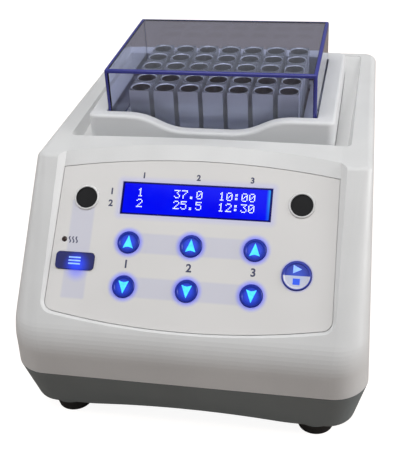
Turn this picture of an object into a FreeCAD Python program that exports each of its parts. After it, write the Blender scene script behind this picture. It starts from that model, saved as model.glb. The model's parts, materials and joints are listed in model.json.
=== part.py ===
import FreeCAD, Part
import math
import os
import re
import Sketcher

# Dry bath incubator with a 35-well tube block under a clear lid.
# Frame: X to the right as the user faces the panel, Y to the rear, Z up.
# The origin is the centre of the footprint on the plane of the feet. Millimetres.

SIZES = {
    # Casing: the width is that of its top at the rear, and its sides spread to the front and downwards
    "case_width": 186.6, "front_flare": 4.8, "side_draft": 2.6, "case_length": 249.0, "case_top": 137.0,
    "seam_height": 36.0, "wall": 3.0, "seam_gap": 0.4, "corner_front": 20.0, "corner_pillar": 6.5,
    "corner_rear": 9.0, "top_round": 4.0, "front_round": 25.0, "front_slope": 46.2, "slope_angle": 45.0,
    "slope_start": -50.0, "base_inset": 7.0,
    "skirt_height": 9.0, "base_floor": 14.0, "arch_half_span": 66.0,
    "foot_diameter": 24.0, "foot_taper": 2.0, "foot_side_inset": 21.3, "foot_front_inset": 20.5,
    "foot_rear_inset": 24.5, "screw_front": -32.0, "screw_rear": 72.0, "boss_height": 6.5,
    # Control panel in its own plane: u to the right, v up the slope, both from the display's centre
    "panel_depth": 3.5, "display_y": -63.5, "overlay_thickness": 1.0, "panel_plate": 3.0,
    "overlay_half_top": 78.7, "overlay_half_bottom": 79.8, "overlay_side_top": 16.5,
    "overlay_mid_top": 23.0, "overlay_side_bottom": -66.0, "overlay_mid_bottom": -73.4,
    "overlay_corner": 5.5, "overlay_gap": 0.4, "visor_front": -45.0, "visor_rise": 4.0,
    "visor_set_back": 6.0, "visor_rear_rise": 1.2,
    "display_width": 85.5, "display_height": 18.8, "display_fit": 0.2, "display_sink": 0.2,
    "display_glass": 1.0, "module_width": 116.0, "module_length": 37.0, "bezel_width": 98.0,
    "bezel_length": 25.0, "bezel_depth": 6.0,
    "key_diameter": 12.3, "key_pitch": 35.7, "key_row_upper": -25.8, "key_row_lower": -50.9,
    "key_gap": 0.3, "key_proud": 0.8, "key_travel": 0.5, "key_dish": 0.5, "flange_width": 1.2,
    "flange_height": 1.0, "flange_gap": 0.2, "stem_diameter": 3.4, "stem_fit": 0.05,
    "start_diameter": 16.0, "start_u": 59.3, "start_v": -38.3,
    "prog_width": 22.2, "prog_height": 9.7, "prog_u": -65.4, "prog_v": -38.2, "prog_corner": 2.2,
    "badge_diameter": 12.2, "left_badge_u": -63.2, "left_badge_v": -1.2, "right_badge_u": 59.3,
    "right_badge_v": 0.8, "badge_height": 0.8,
    "lamp_diameter": 3.0, "lamp_u": -73.2, "lamp_v": -26.1, "lamp_proud": 0.4, "lamp_fit": 0.1,
    "board_depth": 10.0, "board_thickness": 1.6, "switch_side": 6.2, "switch_height": 3.5,
    "spacer_diameter": 6.0, "screw_diameter": 3.0,
    # Recess in the top and the raised deck in it
    "recess_half_width": 83.5, "recess_front": -24.5, "recess_rear": 117.0, "recess_floor": 129.0,
    "recess_rise": 7.5, "recess_draft": 3.0, "recess_corner": 3.5,
    "deck_half_width": 73.5, "deck_front": -18.5, "deck_rear": 94.5, "deck_gap": 0.3,
    "deck_corner": 5.0, "deck_top": 148.0, "deck_round": 2.0, "deck_skin": 3.0, "ledge_height": 134.0,
    "dip_depth": 9.2, "dip_flat": 12.0, "dip_reach": 50.0,
    # Lid
    "lid_width": 125.2, "lid_length": 92.0, "lid_top": 174.0, "lid_wall": 2.4, "lid_fit": 0.6,
    "lid_rest": 0.2, "lid_round": 1.0,
    # Tube block and the cooling stack below it
    "block_y": 34.5, "well_pitch": 15.0, "columns": 7.0, "rows": 5.0, "well_diameter": 11.0,
    "well_depth": 38.0, "well_cone": 5.0, "well_rim": 0.5, "post_side": 12.2, "slot_depth": 30.0,
    "block_top": 157.7, "block_bottom": 100.0, "block_fit": 1.2, "jacket_wall": 8.5,
    "jacket_gap": 0.3, "spreader_height": 6.0, "module_side": 40.0,
    "module_height": 4.0, "module_pitch": 44.0, "sink_base": 6.0, "fin_height": 41.0,
    "fin_thickness": 1.6, "fin_count": 23.0, "sink_width": 112.0, "sink_length": 84.0,
    "fan_side": 80.0, "fan_depth": 20.0, "fan_bore": 76.0, "fan_hub": 34.0, "blade_gap": 1.2,
    "blade_count": 7.0, "shaft_diameter": 3.0, "shaft_fit": 0.04, "stack_gap": 0.3,
    # Electrical pieces; the floor boards lie behind the front of the casing
    "board_front_inset": 12.5, "board_length": 72.0,
    "inlet_x": 52.0, "inlet_z": 66.0, "inlet_width": 27.0, "inlet_height": 20.0, "inlet_depth": 26.0,
    "drawer_height": 10.0, "drawer_depth": 20.0, "drawer_fit": 0.3,
    "pin_width": 4.0, "pin_thickness": 2.0,
    "rocker_x": 12.0, "rocker_width": 12.0, "rocker_radius": 11.0, "rocker_tilt": 9.0,
    "rocker_fit": 0.4, "standoff_height": 5.0, "wire_diameter": 2.2, "wire_bend": 8.0, "sensor_bend": 5.0,
    "vent_width": 3.0, "vent_pitch": 6.5, "vent_length": 46.0,
}

doc = FreeCAD.newDocument("DryBath")
sheet = doc.addObject("Spreadsheet::Sheet", "Dims")
for row, (alias, number) in enumerate(SIZES.items(), start=1):
    sheet.set("A%d" % row, alias)
    sheet.set("B%d" % row, str(number))
    sheet.setAlias("B%d" % row, alias)
doc.recompute()

VEC = FreeCAD.Vector
UP = VEC(0, 0, 1)
ACROSS = VEC(1, 0, 0)
BACK = VEC(0, 1, 0)
NODES = {}


def val(alias):
    return float(sheet.get(alias))


def expr(formula):
    """A formula of size names, with each name turned into its cell of the sheet."""
    return re.sub(r"[a-z][a-z_]*", lambda m: "Dims." + m.group() if m.group() in SIZES else m.group(),
                  str(formula))


def tie(piece, prop, formula):
    piece.setExpression(prop, expr(formula))


def slab(name, x, y, z):
    """A box between pairs of formulas along X, Y and Z."""
    piece = doc.addObject("Part::Box", name)
    for prop, place, (low, high) in (("Length", "x", x), ("Width", "y", y), ("Height", "z", z)):
        tie(piece, prop, "(%s) - (%s)" % (high, low))
        tie(piece, "Placement.Base." + place, low)
    return piece


def spread(centre, size, grow="0"):
    return ("%s - (%s) / 2 - (%s)" % (centre, size, grow), "%s + (%s) / 2 + %s" % (centre, size, grow))


def turn_to(direction):
    """The rotation that takes Z to X or Y."""
    if direction == "x":
        return FreeCAD.Rotation(BACK, 90)
    if direction == "y":
        return FreeCAD.Rotation(ACROSS, -90)
    return FreeCAD.Rotation()


def place_at(piece, place, direction="z"):
    piece.Placement = FreeCAD.Placement(VEC(), turn_to(direction))
    for letter, formula in zip("xyz", place):
        tie(piece, "Placement.Base." + letter, formula)


def rod(name, place, radius, length, direction="z"):
    piece = doc.addObject("Part::Cylinder", name)
    tie(piece, "Radius", radius)
    tie(piece, "Height", length)
    place_at(piece, place, direction)
    return piece


def cone(name, place, low_radius, high_radius, length, direction="z"):
    piece = doc.addObject("Part::Cone", name)
    tie(piece, "Radius1", low_radius)
    tie(piece, "Radius2", high_radius)
    tie(piece, "Height", length)
    place_at(piece, place, direction)
    return piece


def cut(name, base, *tools):
    piece = doc.addObject("Part::Cut", name)
    piece.Base = base
    piece.Tool = tools[0] if len(tools) == 1 else join(name + "_tools", *tools)
    return piece


def join(name, *pieces):
    piece = doc.addObject("Part::MultiFuse", name)
    piece.Shapes = list(pieces)
    return piece


def group(name, *pieces):
    """Separate solids that share one node."""
    piece = doc.addObject("Part::Compound", name)
    piece.Links = list(pieces)
    return piece


def made(name, shape):
    piece = doc.addObject("Part::Feature", name)
    piece.Shape = shape
    return piece


def keep(node, piece):
    piece.Label = node
    NODES[node] = piece
    return piece


def on_panel(piece):
    """Puts a piece drawn in the panel's own plane onto the slope: its Z is out of the panel."""
    piece.Placement = FreeCAD.Placement(VEC(), FreeCAD.Rotation(ACROSS, 45))
    tie(piece, "Placement.Rotation.Angle", "slope_angle")
    tie(piece, "Placement.Base.y", "display_y")
    tie(piece, "Placement.Base.z", DISPLAY_Z)
    return piece


DISPLAY_Z = "case_top + (display_y - slope_start) * tan(slope_angle) - panel_depth / cos(slope_angle)"
PANEL_PLACE = FreeCAD.Placement(
    VEC(0, val("display_y"), val("case_top")
        + (val("display_y") - val("slope_start")) * math.tan(math.radians(val("slope_angle")))
        - val("panel_depth") / math.cos(math.radians(val("slope_angle")))),
    FreeCAD.Rotation(ACROSS, val("slope_angle")))


def panel_point(u, v, out=0.0):
    return PANEL_PLACE.multVec(VEC(u, v, out))


def rounded_edges(points, radii, closed=True):
    """Straight runs between points, with an arc of the given radius at each corner."""
    count = len(points)
    entries = []
    for i, (point, radius) in enumerate(zip(points, radii)):
        if radius <= 0 or (not closed and i in (0, count - 1)):
            entries.append((point, None, point))
            continue
        before = (points[i - 1] - point).normalize()
        after = (points[(i + 1) % count] - point).normalize()
        half_turn = (math.pi - before.getAngle(after)) / 2
        reach = radius * math.tan(half_turn)
        middle = (before + after).normalize() * (radius / math.cos(half_turn) - radius)
        entries.append((point + before * reach, point + middle, point + after * reach))
    edges = []
    for i, (start, middle, end) in enumerate(entries):
        if middle is not None:
            edges.append(Part.Arc(start, middle, end).toShape())
        if i + 1 < count or closed:
            nearest = entries[(i + 1) % count][0]
            if end.distanceToPoint(nearest) > 1e-6:
                edges.append(Part.LineSegment(end, nearest).toShape())
    return edges


def rounded_wire(points, radii, closed=True):
    return Part.Wire(rounded_edges(points, radii, closed))


def tube(points, radius, bend):
    """A round lead along straight runs joined by tangent arcs."""
    route = rounded_wire(points, [bend] * len(points), closed=False)
    heading = points[1] - points[0]
    ring = Part.Wire(Part.makeCircle(radius, points[0], heading))
    return route.makePipeShell([ring], True, True)


def pick_edges(shape, wanted):
    return [edge for edge in shape.Edges if wanted(edge)]


def new_body(name):
    return doc.addObject("PartDesign::Body", name)


def new_sketch(body, name, role, lift="0"):
    sketch = body.newObject("Sketcher::SketchObject", name)
    plane = [item for item in body.Origin.OriginFeatures if item.Role == role][0]
    sketch.AttachmentSupport = [(plane, "")]
    sketch.MapMode = "FlatFace"
    tie(sketch, "AttachmentOffset.Base.z", lift)
    return sketch


def draw_outline(sketch, points):
    """A closed outline of straight lines whose corners are tied to pairs of formulas."""
    count = len(points)
    for i in range(count):
        sketch.addGeometry(Part.LineSegment(VEC(i, i * i, 0), VEC(i + 1, (i + 1) * (i + 1), 0)), False)
    for i in range(count):
        sketch.addConstraint(Sketcher.Constraint("Coincident", i, 2, (i + 1) % count, 1))
    for i, pair in enumerate(points):
        for kind, formula in zip(("DistanceX", "DistanceY"), pair):
            index = sketch.addConstraint(Sketcher.Constraint(kind, -1, 1, i, 1, 1.0))
            tie(sketch, "Constraints[%d]" % index, formula)
    return sketch


def draw_rectangle(sketch, x, y):
    return draw_outline(sketch, [(x[0], y[0]), (x[1], y[0]), (x[1], y[1]), (x[0], y[1])])


def feature(body, kind, name, sketch, length):
    piece = body.newObject("PartDesign::" + kind, name)
    piece.Profile = sketch
    tie(piece, "Length", length)
    return piece


def revolve(body, name, sketch):
    piece = body.newObject("PartDesign::Revolution", name)
    piece.Profile = sketch
    piece.ReferenceAxis = (sketch, ["V_Axis"])
    piece.Angle = 360
    return piece


# Heights and half sizes that several pieces share

BLOCK_X = "(columns - 1) / 2 * well_pitch + post_side / 2"
BLOCK_Y = "(rows - 1) / 2 * well_pitch + post_side / 2"
WELL_X = BLOCK_X + " + block_fit + jacket_wall + jacket_gap"
WELL_Y = BLOCK_Y + " + block_fit + jacket_wall + jacket_gap"
SPREADER_LOW = "block_bottom - spreader_height"
SINK_TOP = SPREADER_LOW + " - module_height"
SINK_LOW = SINK_TOP + " - sink_base"
FAN_TOP = SINK_LOW + " - fin_height - stack_gap"
FAN_LOW = FAN_TOP + " - fan_depth"


# Casing

def plan_wire(level, front_half, rear_half, front, rear, front_radius, rear_radius):
    """A level outline, narrower at one end, with rounded corners."""
    corners = [VEC(-front_half, front, level), VEC(front_half, front, level),
               VEC(rear_half, rear, level), VEC(-rear_half, rear, level)]
    return rounded_wire(corners, [front_radius, front_radius, rear_radius, rear_radius])


def case_half(y, level):
    """Half the casing's width at a place along it and a height."""
    forward = 0.5 - y / val("case_length")
    down = (val("case_top") - level) / (val("case_top") - val("seam_height"))
    return val("case_width") / 2 + val("front_flare") * forward + val("side_draft") * down


def casing_solid(inset, slope, slope_inset, low, high):
    """The upper casing's form: spread walls, a rounded lower front edge and the panel's slope."""
    slope = math.radians(slope)
    front = -val("case_length") / 2 + inset
    rear = val("case_length") / 2 - inset
    rear_radius = val("corner_rear") - inset
    radius = val("front_round") - inset
    turn = math.pi / 2 - slope
    drop = slope_inset / math.cos(slope)
    corner_height = val("case_top") + (front - val("slope_start")) * math.tan(slope) - drop
    arc_start = corner_height - radius * math.tan(turn / 2)
    top_front = val("slope_start") + (high - val("case_top") + drop) / math.tan(slope)
    levels = [(low, front), (arc_start, front)]
    arc_steps = 8
    for step in range(1, arc_steps + 1):
        angle = turn * step / arc_steps
        levels.append((arc_start + radius * math.sin(angle), front + radius * (1 - math.cos(angle))))
    levels.append((high, top_front))
    wires = []
    for level, edge in levels:
        share = max(0.0, (level - arc_start) / (high - arc_start))
        corner = val("corner_front") + (val("corner_pillar") - val("corner_front")) * share - inset
        wires.append(plan_wire(level, case_half(edge - inset, level) - inset,
                               case_half(rear + inset, level) - inset, edge, rear, corner, rear_radius))
    return Part.makeLoft(wires, True, True)


def overlay_wire(grow, out, rise=0.0):
    """The panel's outline, wider by grow on every side, its top moved up along the sides by rise."""
    top = val("overlay_half_top") + grow
    bottom = val("overlay_half_bottom") + grow
    side_top = val("overlay_side_top") + grow
    side_bottom = val("overlay_side_bottom") - grow
    belly = VEC(0, val("overlay_mid_bottom") - grow, out)
    corner = VEC(bottom, side_bottom, out)
    up_the_side = (VEC(top, side_top, out) - corner).normalize()
    end_slope = 2 * math.atan2(side_bottom - belly.y, bottom)
    along_belly = VEC(-math.cos(end_slope), -math.sin(end_slope), 0)
    half_turn = (math.pi - up_the_side.getAngle(along_belly)) / 2
    radius = val("overlay_corner") + grow
    reach = radius * math.tan(half_turn)
    side_end = corner + up_the_side * reach
    belly_end = corner + along_belly * reach
    middle = corner + (up_the_side + along_belly).normalize() * (radius / math.cos(half_turn) - radius)

    def other_side(point):
        return VEC(-point.x, point.y, point.z)

    top_end = VEC(top, side_top, out) + up_the_side * rise
    crest = VEC(0, val("overlay_mid_top") + grow + up_the_side.y * rise, out)
    return Part.Wire([
        Part.LineSegment(top_end, side_end).toShape(),
        Part.Arc(side_end, middle, belly_end).toShape(),
        Part.Arc(belly_end, belly, other_side(belly_end)).toShape(),
        Part.Arc(other_side(belly_end), other_side(middle), other_side(side_end)).toShape(),
        Part.LineSegment(other_side(side_end), other_side(top_end)).toShape(),
        Part.Arc(other_side(top_end), crest, top_end).toShape()])


def overlay_prism(grow, low, high):
    return Part.Face(overlay_wire(grow, low)).extrude(VEC(0, 0, high - low))


RIM_REACH = 8.0
RIM_RISE = 30.0


def rim_tool():
    """What is cut away round the panel so that its rim slopes outwards at 45 degrees."""
    gap = val("overlay_gap")
    return Part.makeLoft([overlay_wire(gap + out, out, RIM_RISE) for out in (0, RIM_REACH)], True, True)


VISOR_LOW = 12.0
VISOR_HALF = val("overlay_half_top") + val("overlay_gap")
CAVITY_TOP = val("recess_floor") - val("wall")
PANEL_BACK = -val("overlay_thickness")
PLATE_BACK = PANEL_BACK - val("panel_plate")


def visor_corner(x):
    """Where the back of the panel's plate meets the ceiling of the casing."""
    low = panel_point(x, VISOR_LOW, PLATE_BACK)
    climb = (CAVITY_TOP - low.z) / math.sin(math.radians(val("slope_angle")))
    return panel_point(x, VISOR_LOW + climb, PLATE_BACK)


def visor_section(x):
    """The raised brow over the display, cut across at x."""
    share = 1 - (x / VISOR_HALF) ** 2
    brow = VEC(x, val("visor_front") + val("visor_set_back") * share,
               val("case_top") + val("visor_rise") * share)
    crest = val("overlay_side_top") + (val("overlay_mid_top") - val("overlay_side_top")) * share
    crest += val("overlay_gap")
    rear = val("recess_front")
    points = [VEC(x, rear, val("case_top") + val("visor_rear_rise") * share), brow,
              panel_point(x, crest), panel_point(x, crest, PANEL_BACK), panel_point(x, VISOR_LOW, PANEL_BACK),
              panel_point(x, VISOR_LOW, PLATE_BACK), visor_corner(x), VEC(x, rear, CAVITY_TOP)]
    return Part.makePolygon(points + [points[0]])


def across(points, half_width):
    """A prism between -half_width and half_width over an outline drawn at x = -half_width."""
    return Part.Face(Part.makePolygon(points + [points[0]])).extrude(VEC(2 * half_width, 0, 0))


def rounded_slab(name, x, y, z, radius):
    """A box with rounded corners seen along Z."""
    doc.recompute()
    box = slab(name + "_box", x, y, z)
    doc.recompute()
    piece = doc.addObject("Part::Fillet", name)
    piece.Base = box
    upright = [i for i, edge in enumerate(box.Shape.Edges, start=1)
               if abs(edge.Vertexes[0].Z - edge.Vertexes[-1].Z) > 1e-6]
    piece.Edges = [(i, radius, radius) for i in upright]
    return piece


def panel_holes(prefix, low, high, grow):
    """Tools for the openings of the panel, in its own plane, wider by grow than the pieces in them."""
    depth = "%s - (%s)" % (high, low)
    tools = []
    for name, u, v, diameter in ROUND_KEYS:
        tools.append(rod(prefix + name, (u, v, low), "%s / 2 + %s" % (diameter, grow), depth))
    tools.append(rounded_slab(prefix + "prog", spread("prog_u", "prog_width", grow),
                              spread("prog_v", "prog_height", grow), (low, high),
                              val("prog_corner") + val(grow)))
    tools.append(slab(prefix + "display", spread("0", "display_width", "display_fit"),
                      spread("0", "display_height", "display_fit"), (low, high)))
    tools.append(rod(prefix + "lamp", ("lamp_u", "lamp_v", low), "lamp_diameter / 2 + lamp_fit", depth))
    return tools


def deck_plan(level, grow=0.0):
    """The raised deck's outline, wider by grow on every side."""
    half = val("deck_half_width") + grow
    corner = val("deck_corner") + grow
    return plan_wire(level, half, half, val("deck_front") - grow, val("deck_rear") + grow, corner, corner)


def recess_tool():
    """The recess with its sloping walls; its floor rises to the rear beside and behind the deck."""
    low, top = val("recess_floor"), val("case_top")
    half, front, rear = val("recess_half_width"), val("recess_front"), val("recess_rear")
    wires = []
    for level in (low, 2 * top - low):
        inset = val("recess_draft") * (top - level) / (top - low)
        corner = val("recess_corner") - inset
        wires.append(plan_wire(level, half - inset, half - inset, front + inset, rear - inset,
                               corner, corner))
    side = half + val("recess_draft")
    ramp = across([VEC(-side, front, low), VEC(-side, rear, low), VEC(-side, rear, low + val("recess_rise"))],
                  side)
    deck_room = Part.Face(deck_plan(low, val("deck_gap"))).extrude(VEC(0, 0, top - low))
    return Part.makeLoft(wires, True, True).cut(ramp.cut(deck_room))


ROUND_KEYS = [
    ("first_up_key", "-key_pitch", "key_row_upper", "key_diameter"),
    ("first_down_key", "-key_pitch", "key_row_lower", "key_diameter"),
    ("second_up_key", "0", "key_row_upper", "key_diameter"),
    ("second_down_key", "0", "key_row_lower", "key_diameter"),
    ("third_up_key", "key_pitch", "key_row_upper", "key_diameter"),
    ("third_down_key", "key_pitch", "key_row_lower", "key_diameter"),
    ("start_stop_key", "start_u", "start_v", "start_diameter"),
]
FOOT_X = "case_width / 2 - foot_side_inset"
SCREW_X = FOOT_X + " + 8"
CASE_SCREWS = [(x, y) for x in ("-(%s)" % SCREW_X, SCREW_X) for y in ("screw_front", "screw_rear")]
REAR = "case_length / 2"
INLET_LOW = "inlet_z - inlet_height / 2 - drawer_height"
INLET_HIGH = "inlet_z + inlet_height / 2"
ROCKER_SIDE = "rocker_width / 2 + 2"
ROCKER_REACH = "rocker_radius + 2.5"

outer = casing_solid(0, val("front_slope"), 0, val("seam_height") + val("seam_gap"), val("case_top"))
outer = outer.makeFillet(val("top_round"), pick_edges(
    outer, lambda edge: min(vertex.Z for vertex in edge.Vertexes) > val("case_top") - 0.01))
inner = casing_solid(val("wall"), val("slope_angle"), val("panel_depth") - PLATE_BACK,
                     val("seam_height") - 1, CAVITY_TOP)
pocket = overlay_prism(val("overlay_gap"), PANEL_BACK, 40)
rim = rim_tool()
for tool in (pocket, rim):
    tool.Placement = PANEL_PLACE
brow_room = across([panel_point(-VISOR_HALF, VISOR_LOW, 40), panel_point(-VISOR_HALF, VISOR_LOW, PLATE_BACK),
                    visor_corner(-VISOR_HALF), VEC(-VISOR_HALF, val("recess_front"), CAVITY_TOP),
                    VEC(-VISOR_HALF, val("recess_front"), val("case_top") + 20)], VISOR_HALF)
VISOR_STEPS = 8
visor = Part.makeLoft([visor_section(VISOR_HALF * (2.0 * step / VISOR_STEPS - 1))
                       for step in range(VISOR_STEPS + 1)], True, False)
shell = outer.cut(inner).cut(pocket).cut(rim).cut(brow_room).fuse(visor).removeSplitter()
shell = shell.cut(recess_tool())
casing_shell = made("CasingShell", shell)

bosses = []
boss_bores = []
for i, (x, y) in enumerate(CASE_SCREWS):
    bosses.append(rod("CaseBoss%d" % i, (x, y, "seam_height + seam_gap"), "screw_diameter / 2 + 2.5",
                      "boss_height"))
    wall_middle = "case_width / 2 + front_flare * (0.5 - %s / case_length) + side_draft - wall / 2" % y
    reach = (x, wall_middle) if i >= 2 else ("-(%s)" % wall_middle, x)
    bosses.append(slab("CaseBossRib%d" % i, reach, spread(y, "5"),
                       ("seam_height + seam_gap", "seam_height + seam_gap + boss_height")))
    boss_bores.append(rod("CaseBossBore%d" % i, (x, y, "seam_height"), "screw_diameter / 2 + 0.1",
                          "seam_gap + boss_height + 1"))
panel_tools = on_panel(join("CasingPanelHoles", *panel_holes(
    "CasingHole_", "-overlay_thickness - panel_plate - 4", "5", "key_gap")))
well_hole = slab("WellHole", spread("0", "2 * (%s)" % WELL_X), spread("block_y", "2 * (%s)" % WELL_Y),
                 ("recess_floor - 20", "recess_floor + 5"))
inlet_hole = slab("InletHole", ("inlet_x - inlet_width / 2 - 0.2", "inlet_x + inlet_width / 2 + 0.2"),
                  (REAR + " - wall - 5", REAR + " + 5"), (INLET_LOW + " - 0.2", INLET_HIGH + " + 0.2"))
rocker_hole = slab("RockerHole", ("rocker_x - (%s) - 0.2" % ROCKER_SIDE, "rocker_x + %s + 0.2" % ROCKER_SIDE),
                   (REAR + " - wall - 5", REAR + " + 5"),
                   ("inlet_z - (%s) - 0.2" % ROCKER_REACH, "inlet_z + %s + 0.2" % ROCKER_REACH))
vents = [slab("RearVent%d" % i, ("-75 + %d * vent_pitch" % i, "-75 + %d * vent_pitch + vent_width" % i),
              (REAR + " - wall - 5", REAR + " + 5"), ("48", "48 + vent_length")) for i in range(10)]
keep("upper_housing", cut("UpperHousing", join("CasingWithBosses", casing_shell, *bosses), panel_tools,
                          well_hole, inlet_hole, rocker_hole, *(vents + boss_bores)))


def base_wire(level, inset, front_radius, rear_radius):
    """The casing's outline at the seam, drawn in by inset and set at a level."""
    end = val("case_length") / 2
    seam = val("seam_height")
    return plan_wire(level, case_half(-end, seam) - inset, case_half(end, seam) - inset, inset - end,
                     end - inset, front_radius, rear_radius)


def base_form():
    """The lower casing: full width at the seam, drawn in towards the table."""
    wires = [base_wire(val("skirt_height"), val("base_inset"),
                       val("corner_front") - 4, val("corner_rear") - 2),
             base_wire(val("seam_height"), 0, val("corner_front"), val("corner_rear"))]
    form = Part.makeLoft(wires, True, True)
    return form.makeFillet(3.0, pick_edges(
        form, lambda edge: max(vertex.Z for vertex in edge.Vertexes) < val("skirt_height") + 0.01))


def base_cavity(low, high, inset_low, inset_high):
    wires = [base_wire(level, inset, val("corner_front") - 4, val("corner_rear") - 4)
             for level, inset in ((low, inset_low), (high, inset_high))]
    return Part.makeLoft(wires, True, True)


def foot_arch():
    """The shallow arch under the base between the feet, front to back."""
    half = val("arch_half_span")
    low = val("skirt_height") - 0.01
    end = val("case_length")
    left, crown, right = VEC(-half, -end, low), VEC(0, -end, val("base_floor")), VEC(half, -end, low)
    wire = Part.Wire([Part.Arc(left, crown, right).toShape(), Part.LineSegment(right, left).toShape()])
    return Part.Face(wire).extrude(VEC(0, 2 * end, 0))


base_shape = base_form().cut(foot_arch())
base_shape = base_shape.cut(base_cavity(val("base_floor") + val("wall"), val("seam_height") + 1,
                                        val("base_inset") + val("wall"), val("wall")))
base_shape = base_shape.cut(base_cavity(val("skirt_height") - 1, val("base_floor"),
                                        val("base_inset") + val("wall") + 1, val("base_inset") + val("wall")))
FEET = [(x, y) for y in ("foot_front_inset - case_length / 2", "case_length / 2 - foot_rear_inset")
        for x in ("-(%s)" % FOOT_X, FOOT_X)]
POST_X = "sink_width / 2 - 4.5"
POST_Y = "sink_length / 2 - 4.5"
POSTS = [(x, y) for x in ("-(%s)" % POST_X, POST_X)
         for y in ("block_y - (%s)" % POST_Y, "block_y + (%s)" % POST_Y)]
foot_pads = [rod("FootPad%d" % i, (x, y, "skirt_height"), "foot_diameter / 2 + 1.5",
                 "base_floor - skirt_height + 1") for i, (x, y) in enumerate(FEET)]
foot_bores = [rod("FootBore%d" % i, (x, y, "skirt_height - 1"), "screw_diameter / 2 + 0.1", "12")
              for i, (x, y) in enumerate(FEET)]
post_holes = [rod("PostHole%d" % i, (x, y, "base_floor - 1"), "screw_diameter / 2 + 0.1", "wall + 2")
              for i, (x, y) in enumerate(POSTS)]
screw_posts = [rod("ScrewPost%d" % i, (x, y, "base_floor + 1"), "screw_diameter / 2 + 2.5",
                   "seam_height - base_floor - 1") for i, (x, y) in enumerate(CASE_SCREWS)]
screw_bores = [rod("ScrewBore%d" % i, (x, y, "base_floor - 1"), "screw_diameter / 2 + 0.1", "30")
               for i, (x, y) in enumerate(CASE_SCREWS)]
fan_vents = [slab("FanVent%d" % i, ("-34 + %d * 9" % i, "-29 + %d * 9" % i),
                  spread("block_y", "68"), ("base_floor - 2", "base_floor + wall + 2")) for i in range(8)]
keep("lower_housing", cut("LowerHousing", join("BaseWithPosts", made("BaseShell", base_shape), *(
    foot_pads + screw_posts)), *(foot_bores + post_holes + screw_bores + fan_vents)))


# Feet and the screws that close the casing

def screw(name, place, length, head_radius="screw_diameter * 0.95", head_height="screw_diameter * 0.6"):
    """A pan-head screw pointing up, its head below the given point."""
    x, y, z = place
    head = rod(name + "_head", (x, y, "%s - (%s)" % (z, head_height)), head_radius, head_height)
    return join(name, head, rod(name + "_shank", place, "screw_diameter / 2", length))


def screw_down(name, place, length):
    """A pan-head screw pointing down, its head above the given point."""
    x, y, z = place
    head = rod(name + "_head", place, "screw_diameter * 0.95", "screw_diameter * 0.6")
    shank = rod(name + "_shank", (x, y, "%s - (%s)" % (z, length)), "screw_diameter / 2", length)
    return join(name, head, shank)


FOOT_RADIUS = "foot_diameter / 2"
feet = []
for i, (x, y) in enumerate(FEET):
    pad = cone("FootBody%d" % i, (x, y, "0"), FOOT_RADIUS + " - foot_taper", FOOT_RADIUS, "skirt_height")
    bore = rod("FootScrewBore%d" % i, (x, y, "-1"), "screw_diameter / 2 + 0.2", "skirt_height + 2")
    counterbore = rod("FootCounterbore%d" % i, (x, y, "-1"), "4", "skirt_height - 3")
    feet.append(cut("Foot%d" % i, pad, bore, counterbore))
keep("rubber_feet", group("RubberFeet", *feet))
keep("foot_screws", group("FootScrews", *[
    screw("FootScrew%d" % i, (x, y, "skirt_height - 4"), "11") for i, (x, y) in enumerate(FEET)]))
keep("case_screws", group("CaseScrews", *[
    screw("CaseScrew%d" % i, (x, y, "base_floor"), "28") for i, (x, y) in enumerate(CASE_SCREWS)]))

# Four pillars on the base floor that carry the cooling stack, each held by a screw from below
posts = []
for i, (x, y) in enumerate(POSTS):
    pillar = rod("Pillar%d" % i, (x, y, "base_floor + wall"), "3.5", "(%s) - base_floor - wall" % SINK_LOW)
    low_bore = rod("PillarLowBore%d" % i, (x, y, "base_floor"), "screw_diameter / 2 + 0.05", "wall + 10")
    top_bore = rod("PillarTopBore%d" % i, (x, y, "(%s) - 16" % SINK_LOW), "screw_diameter / 2 + 0.1", "20")
    posts.append(cut("StackPost%d" % i, pillar, low_bore, top_bore))
keep("stack_posts", group("StackPosts", *posts))
keep("post_screws", group("PostScrews", *[
    screw("PostScrew%d" % i, (x, y, "base_floor"), "wall + 8") for i, (x, y) in enumerate(POSTS)]))


# Control panel: overlay, badges, display, keys, lamp and the boards behind them

overlay = made("OverlayBlank", overlay_prism(0, PANEL_BACK, 0))
keep("control_overlay", on_panel(cut("ControlOverlay", overlay, *panel_holes(
    "OverlayHole_", "-overlay_thickness - 1", "1", "key_gap"))))


def badge(name, u, v):
    """A round badge with a raised rim."""
    place = (u, v, "0")
    disc = rod(name + "Disc", place, "badge_diameter / 2", "badge_height")
    dish = rod(name + "Dish", (place[0], place[1], "badge_height - 0.3"), "badge_diameter / 2 - 0.6", "1")
    return on_panel(cut(name, disc, dish))


keep("left_badge", badge("LeftBadge", "left_badge_u", "left_badge_v"))
keep("right_badge", badge("RightBadge", "right_badge_u", "right_badge_v"))
GLASS_LOW = "-display_sink - display_glass"
keep("display_window", on_panel(group("DisplayWindow", slab(
    "DisplayPane", ("-display_width / 2", "display_width / 2"), ("-display_height / 2", "display_height / 2"),
    (GLASS_LOW, "-display_sink")))))
BEZEL_TOP = "-overlay_thickness - panel_plate - 0.2"
MODULE_TOP = BEZEL_TOP + " - bezel_depth"
bezel = slab("Bezel", spread("0", "bezel_width"), spread("0", "bezel_length"), (MODULE_TOP, BEZEL_TOP))
cell = slab("LiquidCell", spread("0", "display_width - 0.8"), spread("0", "display_height - 0.8"),
            (BEZEL_TOP + " - 1", GLASS_LOW + " - 0.1"))
MODULE_SPOTS = [(u, v) for u in ("-module_width / 2 + 3.5", "module_width / 2 - 3.5")
                for v in ("-11", "11")]
module_board = slab("ModuleBoard", spread("0", "module_width"), spread("0", "module_length"),
                    (MODULE_TOP + " - board_thickness", MODULE_TOP))
module_holes = [rod("ModuleHole%d" % i, (x, y, MODULE_TOP + " - 5"), "screw_diameter / 2 + 0.2", "10")
                for i, (x, y) in enumerate(MODULE_SPOTS)]
keep("display_module", on_panel(cut("DisplayModule", join("DisplayBlank", bezel, cell, module_board),
                                    *module_holes)))

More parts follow.
